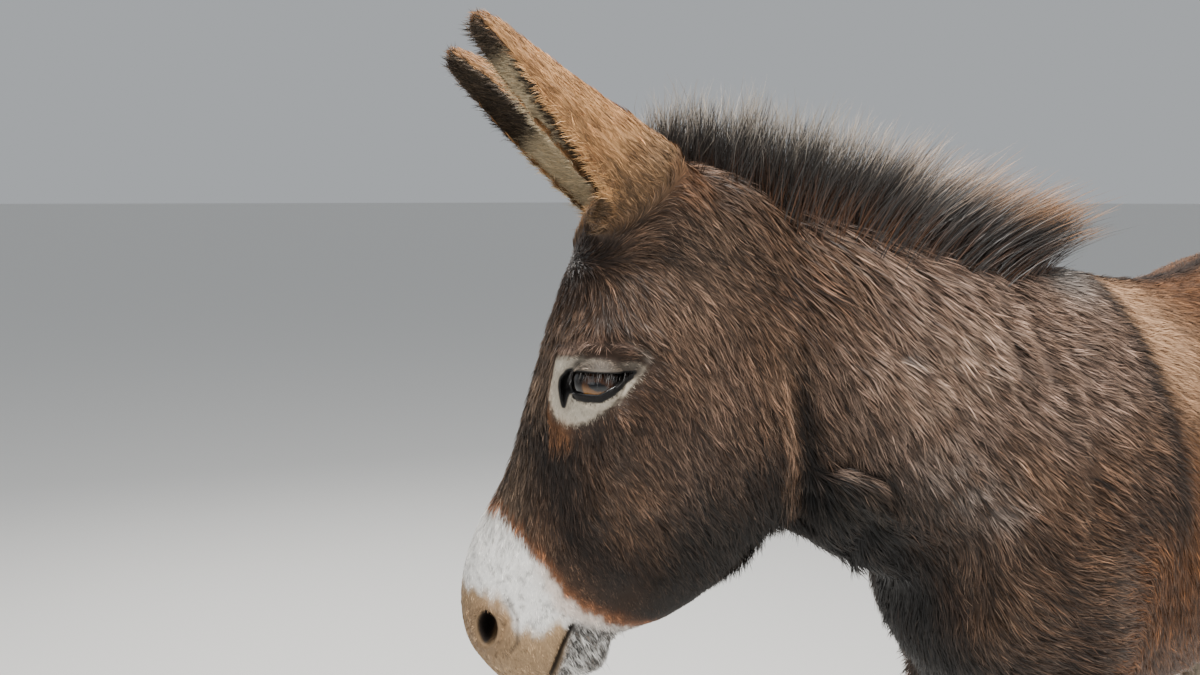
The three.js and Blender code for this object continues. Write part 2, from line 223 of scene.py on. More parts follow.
def read(mesh):
    """A mesh's points and edges as arrays."""
    return (array_of(mesh.vertices, "co", 3).astype(float),
            array_of(mesh.edges, "vertices", 2, np.int32))


def normals_of(mesh):
    """The outward direction at each point of a mesh."""
    return array_of(mesh.vertex_normals, "vector", 3).astype(float)


def put(mesh, points):
    """Moves a mesh's points."""
    mesh.vertices.foreach_set("co", points.astype(np.float32).ravel())
    mesh.update()


def rise(value, low, high):
    """0 below low, 1 above high, and smooth between them."""
    share = np.clip((value - low) / (high - low), 0, 1)
    return share * share * (3 - 2 * share)


def eased(points, edges, share, rounds, steps=(0.5, -0.52)):
    """Points drawn towards their neighbours and let out again, which takes facets away and
    leaves the size. A point is moved as its share says."""
    start, end = np.concatenate([edges, edges[:, ::-1]]).T
    count = np.bincount(start, minlength=len(points))
    for step in steps * rounds:
        total = [np.bincount(start, points[end, axis], len(points)) for axis in range(3)]
        points = points + step * share[:, None] * (np.array(total) / count - points.T).T
    return points


def distance_to(points, path):
    """How far each point is from a spot, or from the line through the spots of a path."""
    path = np.asarray(path, float)
    nearest = np.linalg.norm(points - path[0], axis=1)
    for start, end in zip(path[:-1], path[1:]):
        run = end - start
        place = np.clip((points - start) @ run / (run @ run), 0, 1)
        nearest = np.minimum(nearest, np.linalg.norm(points - start - np.outer(place, run), axis=1))
    return nearest


def hill(distance, width):
    """1 on a line or a spot, falling away over a width."""
    return np.exp(-(distance / width) ** 2)


solid_points, solid_faces = joined(flesh)
hide_mesh = remeshed("hide", solid_points, solid_faces, WEAVE)
points, edges = read(hide_mesh)
head = on_head(points)
height = points[:, 2]

# The cheek line parts the head from the neck; ears and legs are thin, so they are eased
# less than the trunk.
CHEEK_TOP = (-0.060, -0.052)
CHEEK_BOTTOM = (0.330, -0.232)
cheek_run = np.subtract(CHEEK_BOTTOM, CHEEK_TOP)
cheek_out = np.array([-cheek_run[1], cheek_run[0]]) / np.hypot(*cheek_run)


def ahead_of_cheek(head):
    """How far places on the head are in front of the cheek line."""
    return (head[:, [0, 2]] - CHEEK_TOP) @ cheek_out


def on_face(head, behind=0.03, ahead=0.03):
    """1 on the face and 0 on the neck, changing that far behind and ahead of the line."""
    return rise(ahead_of_cheek(head), -behind, ahead) * rise(-head[:, 0], -0.6, -0.5)


# Each ear's foot, its way to the tip, and by how many degrees its mouth is turned to the
# left at the base and at the tip.
EARS = {
    1: ((0.056, 0.046, -0.002), (-0.134, 0.050, 0.205), (-12, 27)),
    -1: ((0.052, -0.046, -0.010), (-0.115, -0.038, 0.227), (22, 42)),
}


def unit(vectors):
    """Vectors made one metre long."""
    return vectors / (np.linalg.norm(vectors, axis=-1, keepdims=True) + 1e-12)


def ear_frame(side, head):
    """Places from an ear's foot, how far up the ear they are, and the ear's ways there: up
    it, out of its mouth, and across it to the left."""
    foot, axis, turned = EARS[side]
    up = unit(np.array(axis))
    ahead = unit(np.array([1.0, 0, 0]) - up * up[0])
    aside = np.cross(up, ahead)
    level = (head - foot) @ up / np.linalg.norm(axis)
    turn = np.radians(turned[0] + (turned[1] - turned[0]) * np.clip(level, 0, 1) ** 2)[:, None]
    opening = ahead * np.cos(turn) + aside * np.sin(turn)
    across = aside * np.cos(turn) - ahead * np.sin(turn)
    return head - foot, level, np.tile(up, (len(head), 1)), opening, across


def in_ear(head):
    """1 in the ears and 0 in the head."""
    share = np.zeros(len(head))
    for side in EARS:
        mine = head[:, 1] * side > 0
        from_foot, level, up, _, _ = ear_frame(side, head[mine])
        from_axis = np.linalg.norm(from_foot - up * (from_foot * up).sum(1)[:, None], axis=1)
        share[mine] = rise(level, 0.15, 0.22) * rise(-from_axis, -0.072, -0.060)
    return share


def on_ear(head, normals):
    """How far up its ear each place is, how far to its outer side, how deep in from its
    mouth, and 1 on the lining."""
    along, outer, deep, lining = np.zeros((4, len(head)))
    facing = normals @ head_axes.T
    for side in EARS:
        mine = head[:, 1] * side > 0
        from_foot, level, up, opening, across = ear_frame(side, head[mine])
        out = from_foot - up * (from_foot * up).sum(1)[:, None] - 0.010 * opening
        along[mine] = level
        outer[mine] = (from_foot * across).sum(1) * side
        deep[mine] = -(from_foot * opening).sum(1)
        lining[mine] = rise(-(facing[mine] * unit(out)).sum(1), -0.25, 0.25)
    return along, outer, deep, lining


face = on_face(head)
leg = rise(-height, -0.56, -0.46)
ear = in_ear(head)
slim = np.maximum(0.75 * face, np.maximum(leg, ear))
points = eased(points, edges, 1 - slim, 45, steps=(0.6,))
points = eased(points, edges, 1 - 0.5 * leg - 0.2 * ear - 0.45 * face, 25)
put(hide_mesh, points)

# The skin is worked finely at the eyes, the nostrils and the lips.
EYE = np.array([EYE_DOWN_FACE, 0.077, EYE_OUT_OF_FACE])
NOSTRIL = np.array([0.414, 0.048, 0.061])
MOUTH_LINE = [(0.398, -0.009), (0.418, -0.005), (0.438, -0.004), (0.480, -0.001)]


def mirrored(head):
    """Places on the head, all taken to its left side."""
    return head * (1, 0, 1) + np.abs(head) * (0, 1, 0)


def near_features(head, reach):
    """Which places are within reach of an eye, a nostril or the mouth."""
    place = mirrored(head)
    return (
        (np.linalg.norm(place - EYE, axis=1) < reach + 0.022)
        | (np.linalg.norm(place - NOSTRIL, axis=1) < reach)
        | (distance_to(place[:, [0, 2]], MOUTH_LINE) < reach * 0.35))


def split_near_features(mesh, reach):
    """Cuts the faces near the features in four."""
    held = bmesh.new()
    held.from_mesh(mesh)
    chosen = near_features(on_head(read(mesh)[0]), reach)
    lines = [edge for edge in held.edges if all(chosen[v.index] for v in edge.verts)]
    bmesh.ops.subdivide_edges(held, edges=lines, cuts=1, use_grid_fill=True)
    held.to_mesh(mesh)
    held.free()


for reach in (0.036, 0.026):
    split_near_features(hide_mesh, reach)
points, edges = read(hide_mesh)
points = eased(points, edges, near_features(on_head(points), 0.045) * 0.9, 14)
put(hide_mesh, points)

# How deep the coat stands over the skin.
BODY_COAT = 0.0075
FACE_COAT = 0.0045
LEG_COAT = 0.0035
MUZZLE_COAT = 0.0012
EAR_COAT = 0.0010


def coat_depth(points):
    """How far the skin lies inside the outline of the hair."""
    head = on_head(points)
    face = on_face(head)
    depth = BODY_COAT + (FACE_COAT - BODY_COAT) * face
    depth = depth + (MUZZLE_COAT - depth) * rise(head[:, 0], 0.28, 0.35) * face
    depth = depth + (LEG_COAT - depth) * rise(-points[:, 2], -0.60, -0.45)
    return depth + (EAR_COAT - depth) * in_ear(head)


points = points - normals_of(hide_mesh) * (SWELL + coat_depth(points))[:, None]
points = eased(points, edges, 0.6 * np.ones(len(points)), 2)
put(hide_mesh, points)


# ---------------------------------------------------------------------------------
# Eyelids, nostrils, lips and folds, pressed and raised in the skin. The lids are skin
# drawn over the ball of the eye; the opening between them runs from the tear duct in
# front to the outer corner behind.

UPPER_LID = [(0.2105, 0.0502), (0.1988, 0.0560), (0.1900, 0.0580), (0.1838, 0.0566),
             (0.1775, 0.0524), (0.1726, 0.0328), (0.1693, 0.0166), (0.1658, 0.0024)]
LOWER_LID = [(0.1697, 0.0051), (0.1804, 0.0153), (0.1910, 0.0273), (0.1943, 0.0397),
             (0.1966, 0.0482), (0.2010, 0.0500)]
NOSTRIL_RIM = [(0.400, 0.0665), (0.407, 0.0705), (0.416, 0.0705), (0.425, 0.0665),
               (0.431, 0.0600), (0.426, 0.0545), (0.415, 0.0530), (0.404, 0.0575)]
GLOBE = 0.020  # the radius of the ball of the eye
LID = 0.0026  # how thick its lids are


def looped(spots, steps=8):
    """A smooth closed line through the spots."""
    spots = np.asarray(spots, float)
    share = (np.arange(steps) / steps)[:, None, None]
    before, after, beyond = (np.roll(spots, -shift, 0) for shift in (-1, 1, 2))
    curve = 0.5 * (
        2 * spots + (after - before) * share
        + (2 * before - 5 * spots + 4 * after - beyond) * share ** 2
        + (3 * spots - before - 3 * after + beyond) * share ** 3)
    return curve.transpose(1, 0, 2).reshape(-1, spots.shape[1])


def inside(places, outline):
    """Which flat places are inside a closed outline."""
    crossings = np.zeros(len(places), int)
    for (x0, y0), (x1, y1) in zip(outline, np.roll(outline, -1, 0)):
        spans = (places[:, 1] < y0) != (places[:, 1] < y1)
        if y0 != y1:
            level = x0 + (places[:, 1] - y0) * (x1 - x0) / (y1 - y0)
            crossings += spans & (places[:, 0] < level)
    return crossings % 2 == 1


def outside_by(places, outline):
    """How far flat places are outside a closed outline; less than 0 inside it."""
    distance = distance_to(places, np.vstack([outline, outline[:1]]))
    return np.where(inside(places, outline), -distance, distance)


eye_outline = looped(UPPER_LID + LOWER_LID)
nostril_outline = looped(NOSTRIL_RIM)


def lid_height(flat, skin_height):
    """How far out the lids stand, over the globe or as the skin was."""
    from_eye = np.hypot(flat[:, 0] - EYE[0], flat[:, 1] - EYE[2])
    gap = outside_by(flat, eye_outline)
    brow = LID + 0.0016 * hill(gap, 0.007) * (flat[:, 0] < EYE[0])
    over_globe = EYE[1] + np.sqrt(np.maximum((GLOBE + brow) ** 2 - from_eye ** 2, 0))
    over_globe = np.where(from_eye < GLOBE + LID, over_globe, -1)
    sunk = skin_height - 0.0045 * hill(np.maximum(gap, 0), 0.013)
    soft = 0.0018
    high = np.maximum(sunk, over_globe)
    low = np.minimum(sunk, over_globe)
    return high + soft * np.log1p(np.exp((low - high) / soft)), from_eye, gap


head = on_head(points)
for side in (1, -1):
    out = head[:, 1] * side
    chosen = np.nonzero((out > 0.02) & (np.hypot(head[:, 0] - EYE[0], head[:, 2] - EYE[2]) < 0.06))[0]
    flat = head[chosen][:, [0, 2]]
    height, from_eye, gap = lid_height(flat, out[chosen])
    hole = 0.0090 + 0.009 * rise(-from_eye, -0.0225, -0.0185)
    head[chosen, 1] = side * (height - hole * rise(-gap, 0.0003, 0.0022))

    chosen = np.nonzero((out > 0.01) & (np.linalg.norm(mirrored(head) - NOSTRIL, axis=1) < 0.045))[0]
    gap = outside_by(head[chosen][:, [0, 2]], nostril_outline)
    into = np.array([-0.25, -side * 0.82, -0.50])
    push = 0.024 * rise(-gap, 0.0, 0.0055) - 0.0026 * hill(gap - 0.003, 0.0045) * (gap > 0)
    head[chosen] += np.outer(push, into)
points = off_head(head)
put(hide_mesh, points)


def pressed(places, folds):
    """How far folds press the skin in at places."""
    return sum(depth * hill(distance_to(places, path), width) for path, depth, width in folds)


# Folds, each a path down the face and out of it, with how far it is pressed in and how
# wide it is. Less than nothing is a ridge.
BROW_FOLD = [(0.157, 0.064), (0.147, 0.046), (0.143, 0.021), (0.146, 0.003), (0.155, -0.010)]
FACE_FOLDS = [
    (MOUTH_LINE, 0.0060, 0.0022),
    ([(0.396, -0.010), (0.398, -0.024), (0.404, -0.040)], 0.0020, 0.0050),
    (BROW_FOLD, 0.0026, 0.0050),
    ([(0.168, 0.062), (0.160, 0.046), (0.157, 0.028), (0.158, 0.010)], 0.0013, 0.0022),
    ([(0.198, 0.040), (0.197, 0.024), (0.190, 0.008)], 0.0012, 0.0026),
    ([(0.150, 0.055), (0.135, 0.030), (0.138, 0.000)], -0.0030, 0.0120),
    ([(0.205, 0.004), (0.262, 0.002), (0.300, 0.004)], -0.0065, 0.0120),
    ([(0.232, 0.030), (0.275, 0.026), (0.310, 0.022)], 0.0045, 0.0120),
    ([(0.235, 0.060), (0.290, 0.058), (0.340, 0.052)], 0.0035, 0.0140),
    ([(0.390, 0.052), (0.404, 0.046), (0.424, 0.048), (0.436, 0.055)], 0.0022, 0.0035),
    ([(0.345, 0.015), (0.375, 0.020), (0.395, 0.006)], 0.0022, 0.0070),
    ([(0.130, -0.020), (0.190, -0.050), (0.260, -0.060)], -0.0030, 0.0260),
    ([(0.300, -0.040), (0.340, -0.055), (0.378, -0.040)], 0.0040, 0.0160),
]
points, edges = read(hide_mesh)
head = on_head(points)
normals = normals_of(hide_mesh)
LIPS_FROM = 0.43
beside_nose = rise(np.abs(head[:, 1]), 0.015, 0.03) * (ahead_of_cheek(head) > 0)
foldable = np.where(head[:, 0] > LIPS_FROM, 1, beside_nose)
points = points - normals * (pressed(head[:, [0, 2]], FACE_FOLDS) * foldable)[:, None]

# Folds of the neck and the shoulder, as paths from the withers.
BEHIND_JAW = [(0.420, -0.030, 0.925), (0.398, -0.026, 0.885), (0.388, -0.026, 0.845),
              (0.378, -0.038, 0.800), (0.362, -0.050, 0.765)]
BEHIND_POLL = [(0.350, -0.020, 1.005), (0.330, -0.005, 0.972), (0.318, 0.006, 0.948),
               (0.300, 0.016, 0.925)]
NECK_FOLDS = [
    (BEHIND_JAW, 0.0170, 0.0120),
    (BEHIND_POLL, 0.0095, 0.0110),
    ([(0.366, -0.034, 0.823), (0.351, -0.015, 0.829), (0.320, 0.000, 0.816), (0.303, 0.004, 0.794)],
     0.0085, 0.0075),
    ([(0.352, -0.021, 0.811), (0.328, -0.007, 0.800), (0.315, -0.003, 0.785)], -0.0090, 0.0090),
    ([(0.362, -0.038, 0.800), (0.356, -0.034, 0.798)], 0.0090, 0.0100),
    ([(0.325, 0.000, 0.780), (0.318, -0.020, 0.752), (0.305, -0.040, 0.730)], 0.0085, 0.0100),
    ([(0.257, 0.015, 0.975), (0.240, 0.028, 0.945), (0.245, 0.036, 0.915)], 0.0045, 0.0090),
    ([(0.222, 0.026, 0.975), (0.205, 0.038, 0.945), (0.208, 0.048, 0.910)], 0.0045, 0.0090),
    ([(0.185, 0.030, 0.972), (0.168, 0.045, 0.940), (0.170, 0.058, 0.905)], 0.0045, 0.0090),
    ([(0.148, 0.036, 0.965), (0.134, 0.055, 0.930), (0.136, 0.070, 0.895)], 0.0045, 0.0090),
    ([(0.120, 0.020, 0.985), (0.085, 0.070, 0.930), (0.090, 0.105, 0.850), (0.130, 0.128, 0.760)],
     0.0075, 0.0240),
    ([(-0.090, 0.130, 0.850), (-0.060, 0.160, 0.760), (-0.020, 0.165, 0.660)], 0.0045, 0.0300),
    ([(0.330, 0.010, 0.900), (0.270, 0.045, 0.830), (0.215, 0.070, 0.760)], -0.0060, 0.0260),
    ([(0.300, -0.020, 0.760), (0.255, 0.010, 0.730), (0.225, 0.040, 0.690)], 0.0090, 0.0180),
]
points = points - normals * pressed(points - withers, NECK_FOLDS)[:, None]
points = eased(points, edges, 0.5 * (1 - near_features(head, 0.03)), 2)
put(hide_mesh, points)


# ---------------------------------------------------------------------------------
# The markings, shared by the skin and the coat. A dark chocolate donkey with rusty flanks, a
# dark cross on its back and shoulders, and pale points: muzzle, eye rings, belly, the
# insides of the legs. Painted light and shade lie over them: painted shade in the creases,
# under the jaw, the neck and the throat's fold, in the nostrils and deep in the left ear,
# and painted sheen and highlights on the upper neck and cheek, along edges and on the ears' rims.


def dye(code):
    """A colour from its hexadecimal code, as light."""
    tone = np.array([int(code[i:i + 2], 16) for i in (0, 2, 4)]) / 255
    return np.where(tone <= 0.04045, tone / 12.92, ((tone + 0.055) / 1.055) ** 2.4)


CHOCOLATE = dye("644b39")
UMBER = dye("3a281d")
SOOT = dye("1d1917")
RUST = dye("6b4528")
GRIZZLE = dye("5f5348")
DUST_AND_SHEEN = dye("92796a")
WORN = dye("8c8078")
STRAW = dye("9c8573")
SAND = dye("d0a884")
ASH = dye("b5b0aa")
SHADE_UNDER_NECK = dye("15110f")
CREASE_SHADE = dye("120f0d")
SHADE_UNDER_THROAT_FOLD = dye("1f1a14")
WHORL_PIT_SHADE = dye("0d0b0a")
PALE_BELLY = dye("a89a88")
LEG_GREY = dye("857868")
EAR_BACK = dye("b5895d")
EAR_BASE = dye("594a3d")
EAR_FOOT = dye("7d5e42")
EAR_TIP = dye("7a5238")
EAR_RIM_AND_BACKLIGHT = dye("cd9a62")
EAR_LINING = dye("dccaa8")
EAR_DARK_AND_SHADE = dye("33241d")
FOREHEAD = dye("2f2118")
FACE_FRONT = dye("6e5c4c")
BELOW_EYE = dye("1f1815")
CHEEK_HOLLOW_SHADE = dye("2a2523")
JAW_SHADE = dye("16110d")
JAW_EDGE_HIGHLIGHT = dye("8f705a")
BEHIND_JAW_SHADE = dye("130f0c")
BROW = dye("94796a")
OLIVE = dye("554b42")
LID_ARC = dye("a4988c")
CREAM = dye("c3b8a6")
FOXY = dye("90613e")
RUST_EDGE = dye("95603e")
CHALK = dye("e9e6e1")
BLUSH = dye("c9a488")
BISCUIT = dye("aa8d6b")
CHIN_GREY = dye("3f3a36")
NOSTRIL_EDGE = dye("98795a")
WING_SHADE = dye("5a4a3c")
NOSTRIL_SHADE = dye("3a302b")
SLATE = dye("4c4743")
WET_BLACK_AND_SHADE = dye("14100f")


def waves(points, length, seed):
    """Smooth noise from -1 to 1 with features of about that length."""
    chance = np.random.default_rng(seed)
    total = np.zeros(len(points))
    count = 9
    for _ in range(count):
        way = chance.normal(size=3)
        way *= 2 * math.pi / (length * chance.uniform(0.7, 1.5)) / np.linalg.norm(way)
        total += np.sin(points @ way + chance.uniform(0, 2 * math.pi))
    return np.clip(total / math.sqrt(count), -1, 1)


RUST_BAND = [(0.306, 0.090), (0.316, 0.071), (0.327, 0.055), (0.338, 0.042), (0.348, 0.026),
             (0.368, 0.007), (0.379, -0.018), (0.386, -0.040), (0.390, -0.070)]
BISCUIT_EDGE = [(0.392, 0.100), (0.386, 0.078), (0.386, 0.060), (0.398, 0.047), (0.408, 0.036),
                (0.403, 0.014), (0.392, 0.001), (0.400, -0.007)]
EYE_RING = [(0.1803, 0.0689), (0.1726, 0.0641), (0.1667, 0.0533), (0.1634, 0.0365),
            (0.1637, 0.0194), (0.1590, 0.0050), (0.1600, -0.0060), (0.1761, 0.0014),
            (0.1923, 0.0108), (0.2076, 0.0232), (0.2203, 0.0355), (0.2242, 0.0486),
            (0.2125, 0.0601), (0.1960, 0.0678)]
LID_EDGE = [(0.1982, 0.0439), (0.1973, 0.0379), (0.1943, 0.0263),
            (0.1864, 0.0180), (0.1782, 0.0115), (0.1700, 0.0050)]
FOXY_EDGE = [(0.1873, 0.0705), (0.2109, 0.0660), (0.2260, 0.0580), (0.2320, 0.0480)]
NOSTRIL_WING = [(0.3850, 0.0520), (0.3990, 0.0400), (0.4180, 0.0350), (0.4340, 0.0400)]
UPPER_LID_BAND = [(0.1725, 0.0480), (0.1680, 0.0330), (0.1652, 0.0150), (0.1645, 0.0030)]
UNDER_EYE = [(0.245, 0.052), (0.285, 0.030), (0.325, 0.000), (0.345, -0.035)]
eye_ring = looped(EYE_RING, 6)

# Paths from the withers.
UNDER_NECK = [(0.350, -0.040, 0.76), (0.270, -0.035, 0.69), (0.225, -0.035, 0.62), (0.160, 0, 0.56)]
THROAT_WHORL = (0.360, -0.037, 0.800)
THROAT_FOLD = [THROAT_WHORL, (0.335, -0.014, 0.796), (0.314, -0.003, 0.775)]
FOLD_EDGE = [(0.364, -0.034, 0.816), (0.352, -0.018, 0.822), (0.325, -0.004, 0.811),
             (0.312, -0.001, 0.795), (0.303, 0.003, 0.779)]
CREST_LINE = [(0.014, -0.001, 0.998), (0.172, -0.018, 1.021), (0.326, -0.064, 1.062),
              (0.447, -0.133, 1.075), (0.500, -0.165, 1.085)]


def below_line(head, line):
    """How far towards the lips places are from a line across the face."""
    line = np.asarray(line)[::-1]
    return head[:, 0] - np.interp(head[:, 2], line[:, 1], line[:, 0])


def blend(colours, share, shade):
    """Colours, or one colour for every point, turned into a shade as far as the share says."""
    return colours + (shade - colours) * np.clip(share, 0, 1)[:, None]


def stroke(colours, places, path, width, share, shade):
    """Colours turned into a shade along a path or round a spot, fading over a width."""
    return blend(colours, share * hill(distance_to(places, path), width), shade)


class Spots:
    """Spots of the coat: from the ground, from the withers and on the head, with slow and
    quick waves that make the markings uneven."""

    def __init__(self, points, normals):
        self.points = points
        self.normals = normals
        self.height = points[:, 2]
        self.place = points - withers
        self.head = on_head(points)
        self.down, self.side, self.out = self.head.T
        self.flat = self.head[:, [0, 2]]
        self.cheek = ahead_of_cheek(self.head)
        self.face = on_face(self.head, 0.02, 0.02)
        self.body = 1 - self.face
        self.ear = in_ear(self.head)
        self.patchy = waves(points, 0.09, 1)
        self.fine = waves(points, 0.022, 2)


def on_trunk(at):
    """Chocolate, bleached dusty on the upper neck and shoulder and painted lighter there as
    sheen, rusty behind the cross, and darkened under the neck as painted shade.
    """
    forward, aside = at.place[:, 0], at.place[:, 1]
    colours = blend(CHOCOLATE, 0.42 + 0.30 * at.patchy, UMBER)
    # Bleached, dusty hair on the upper neck and shoulder and behind the jaw, painted lighter still as
    # sheen where the light falls from above.
    upper = rise(at.height + 0.02 * at.patchy, 0.78, 0.90) * rise(-forward, -0.36, -0.28)
    colours = blend(colours, upper * at.body * (0.50 + 0.30 * at.fine), DUST_AND_SHEEN)
    colours = stroke(colours, at.place, [(0.350, -0.005, 0.910), (0.315, 0.018, 0.840)],
                     0.050, at.body * (0.40 + 0.25 * at.fine), DUST_AND_SHEEN)
    colours = stroke(colours, at.place, [(0.275, 0.045, 0.815), (0.235, 0.060, 0.790)],
                     0.040, at.body * (0.38 + 0.30 * at.fine), WORN)
    colours = stroke(colours, at.place, [(0.285, 0.010, 0.895), (0.200, 0.035, 0.930)],
                     0.045, 0.22 + 0.30 * at.fine, STRAW)

    stripe_at = np.interp(at.height, [0.60, 0.74, 0.87, 0.97], [0.00, -0.016, -0.028, -0.040])
    behind_elbow = rise(0.078 - forward + 0.01 * at.fine, -0.01, 0.02) * rise(-at.height, -0.76, -0.70)
    rusty = np.maximum(rise(stripe_at - forward, -0.01, 0.03), behind_elbow) * at.body
    colours = blend(colours, rusty * (0.90 + 0.15 * at.fine), RUST)
    rump = rusty * rise(-forward + 0.03 * at.patchy, 0.08, 0.55)
    colours = blend(colours, 0.60 * rump, CHOCOLATE)
    colours = stroke(colours, at.place, [(-0.050, 0.060, 0.985), (-0.080, 0.130, 0.920)],
                     0.085, 0.80 * rusty, SAND)
    # painted shade under the neck and on the breast, outside the rusty flank
    colours = stroke(colours, at.place, UNDER_NECK, 0.088, 1.30 * (1 - rusty), SHADE_UNDER_NECK)

    # the cross: a stripe down each shoulder and one along the back
    shoulder = hill(forward - stripe_at, 0.015 + 0.003 * at.fine) * rise(at.height, 0.66, 0.80)
    colours = blend(colours, 0.85 * shoulder * (np.abs(aside) < 0.4) * at.body, SOOT)
    on_top = rise(at.normals[:, 2], 0.5, 0.8) * (forward < 0.02) * (at.height > 0.80)
    colours = blend(colours, 0.85 * hill(aside, 0.018) * on_top * at.body, SOOT)
    colours = stroke(colours, at.place, [(0.012, 0.010, 0.990)], 0.038, 0.75, ASH)

    # the belly and the legs
    belly = rise(-at.normals[:, 2], 0.60, 0.95) * rise(-forward, -0.06, 0.06)
    belly = belly * (at.height > 0.44) * (at.height < 0.60)
    colours = blend(colours, 0.9 * belly * at.body, PALE_BELLY)
    leg = rise(-at.height, -0.58, -0.40)
    colours = blend(colours, 0.55 * leg * at.body, LEG_GREY)
    inward = rise(-np.sign(aside) * at.normals[:, 1], -0.1, 0.6) * rise(-at.height, -0.60, -0.50)
    colours = blend(colours, 0.85 * inward * at.body, PALE_BELLY)
    colours = blend(colours, 0.45 * rise(-at.height, -0.30, -0.12) * at.body, GRIZZLE)
    return blend(colours, 0.8 * rise(-at.height, -0.085, -0.068) * at.body, SOOT)


def on_throat_and_tail(at, colours):
    """Painted shade, near black, in the creases behind the jaw and the poll, under the fold of
    the throat and in the pit of its whorl, a painted highlight on the fold's lit edge, dark
    under the mane and on the dock."""
    # painted shade in the creases behind the jaw and behind the poll
    crease_shade = np.maximum(hill(distance_to(at.place, BEHIND_JAW), 0.0085),
                        0.8 * hill(distance_to(at.place, BEHIND_POLL), 0.009))
    colours = blend(colours, 0.92 * crease_shade, CREASE_SHADE)
    # painted shade under the fold of the throat and in the pit of its whorl
    colours = stroke(colours, at.place, THROAT_FOLD, 0.021, 0.85, SHADE_UNDER_THROAT_FOLD)
    colours = stroke(colours, at.place, [THROAT_WHORL], 0.013, 0.90, WHORL_PIT_SHADE)
    # a painted highlight along the lit edge of the fold
    colours = stroke(colours, at.place, FOLD_EDGE, 0.0034, 0.42, DUST_AND_SHEEN)
    dock = rise(-at.place[:, 0], 0.675, 0.70) * rise(-at.height, -0.88, -0.78)
    dock = dock * rise(at.height, 0.56, 0.60) * rise(-np.abs(at.place[:, 1]), -0.036, -0.026)
    colours = blend(colours, dock, SOOT)
    return stroke(colours, at.place, CREST_LINE, 0.030, 0.85, UMBER)


def ear_lining(along, outer, deep, side, dark):
    """The colours in the ears: pale, fox red by the left ear's outer rim, where it is painted
    bright as backlight, and at the foot, and dark, as strong as dark says: dark hair at the
    tips and painted shade deep in the left ear."""
    half = np.interp(along, [0.10, 0.42, 0.60, 0.76, 0.90, 1.0],
                     [0.042, 0.041, 0.036, 0.028, 0.020, 0.010])
    by_rim = rise(outer / half, 0.50, 0.70) * (side > 0)
    # painted shade deep in the left ear, away from its mouth
    deep_shade = rise(deep - 0.043 * along, -0.0280, -0.0240) * rise(along, 0.22, 0.30)
    left = np.maximum(deep_shade * (1 - by_rim), rise(along, 0.76, 0.88))
    shade = np.where(side > 0, left, rise(along, 0.52, 0.64))
    colours = blend(EAR_LINING, 0.9 * by_rim, EAR_RIM_AND_BACKLIGHT)
    colours = blend(colours, shade * dark, EAR_DARK_AND_SHADE)
    return blend(colours, 0.85 * rise(-along, -0.30, -0.22), EAR_FOOT)


def on_ears(at, colours):
    """Fawn backs, darker at the foot, tan rims painted bright as backlight, and the lining."""
    along, outer, deep, lining = on_ear(at.head, at.normals)
    back = blend(EAR_BACK, 0.25 + 0.35 * at.fine, FOXY)
    back = blend(back, 0.85 * rise(-along, -0.46, -0.24), EAR_BASE)
    colours = blend(colours, at.ear, back)
    # the rims: tan hair, painted brighter as light shining through them from behind
    rim = (1 - np.abs(2 * np.minimum(lining + 0.20, 1) - 1)) ** 1.5
    colours = blend(colours, 0.85 * rim * at.ear, EAR_RIM_AND_BACKLIGHT)
    inner = ear_lining(along, outer, deep, at.side, 0.92)
    colours = blend(colours, at.ear * rise(lining, 0.72, 0.95), inner)
    tip = rise(along, 0.90, 0.99) * (1 - lining) * at.ear
    colours = blend(colours, 0.4 * tip, EAR_TIP)
    return stroke(colours, mirrored(at.head), [(-0.006, 0.072, 0.012)], 0.030,
                  0.55 * (1 - at.ear), FOXY)


def on_cheeks(at, colours):
    """Dusty down the front of the face, dark on the forehead and under the eyes, painted shade
    under the jaw, in the cheek's hollow and in the crease behind the jaw, painted sheen on
    the upper cheek, and a painted highlight on the lit edge of hair along the back of the jaw."""
    front = rise(at.out, 0.040, 0.068) * rise(at.down, 0.10, 0.20)
    colours = blend(colours, 0.75 * front * at.face, FACE_FRONT)
    forehead = rise(at.out, 0.020, 0.055) * rise(-at.down, -0.16, -0.06) * (1 - at.ear)
    colours = blend(colours, 0.80 * forehead * at.face, FOREHEAD)
    colours = stroke(colours, mirrored(at.head), [(0.050, 0.060, -0.020)], 0.050,
                     0.35 * (1 - at.ear), GRIZZLE)
    colours = stroke(colours, at.flat, UNDER_EYE, 0.026, 0.88 * at.face, BELOW_EYE)
    # painted shade in the hollow of the cheek
    colours = stroke(colours, at.flat, [(0.222, 0.016), (0.240, 0.000)],
                     0.016, 0.55 * at.face, CHEEK_HOLLOW_SHADE)
    # painted shade under the jaw
    jaw = rise(-at.out, 0.025, 0.090) * rise(at.down, 0.17, 0.29)
    colours = blend(colours, 0.90 * jaw * at.face, JAW_SHADE)
    # dusty hair on the upper cheek, painted lighter as sheen
    colours = stroke(colours, at.flat, [(0.110, -0.030), (0.160, -0.075), (0.230, -0.060)],
                     0.045, 0.20 * at.face, DUST_AND_SHEEN)
    along_jaw = rise(at.down, 0.07, 0.15) * rise(-at.down, -0.27, -0.20)
    # a painted highlight on the edge of hair along the back of the jaw, and painted shade in the
    # crease just behind it
    colours = blend(colours, 0.85 * hill(at.cheek - 0.011, 0.008) * along_jaw, JAW_EDGE_HIGHLIGHT)
    colours = blend(colours, 0.85 * hill(at.cheek + 0.004, 0.007) * along_jaw, BEHIND_JAW_SHADE)
    return stroke(colours, at.flat, [(0.160, 0.062), (0.1480, 0.0495), (0.1445, 0.020)],
                  0.0065, 0.60 * (np.abs(at.side) > 0.045) * at.face, BROW)


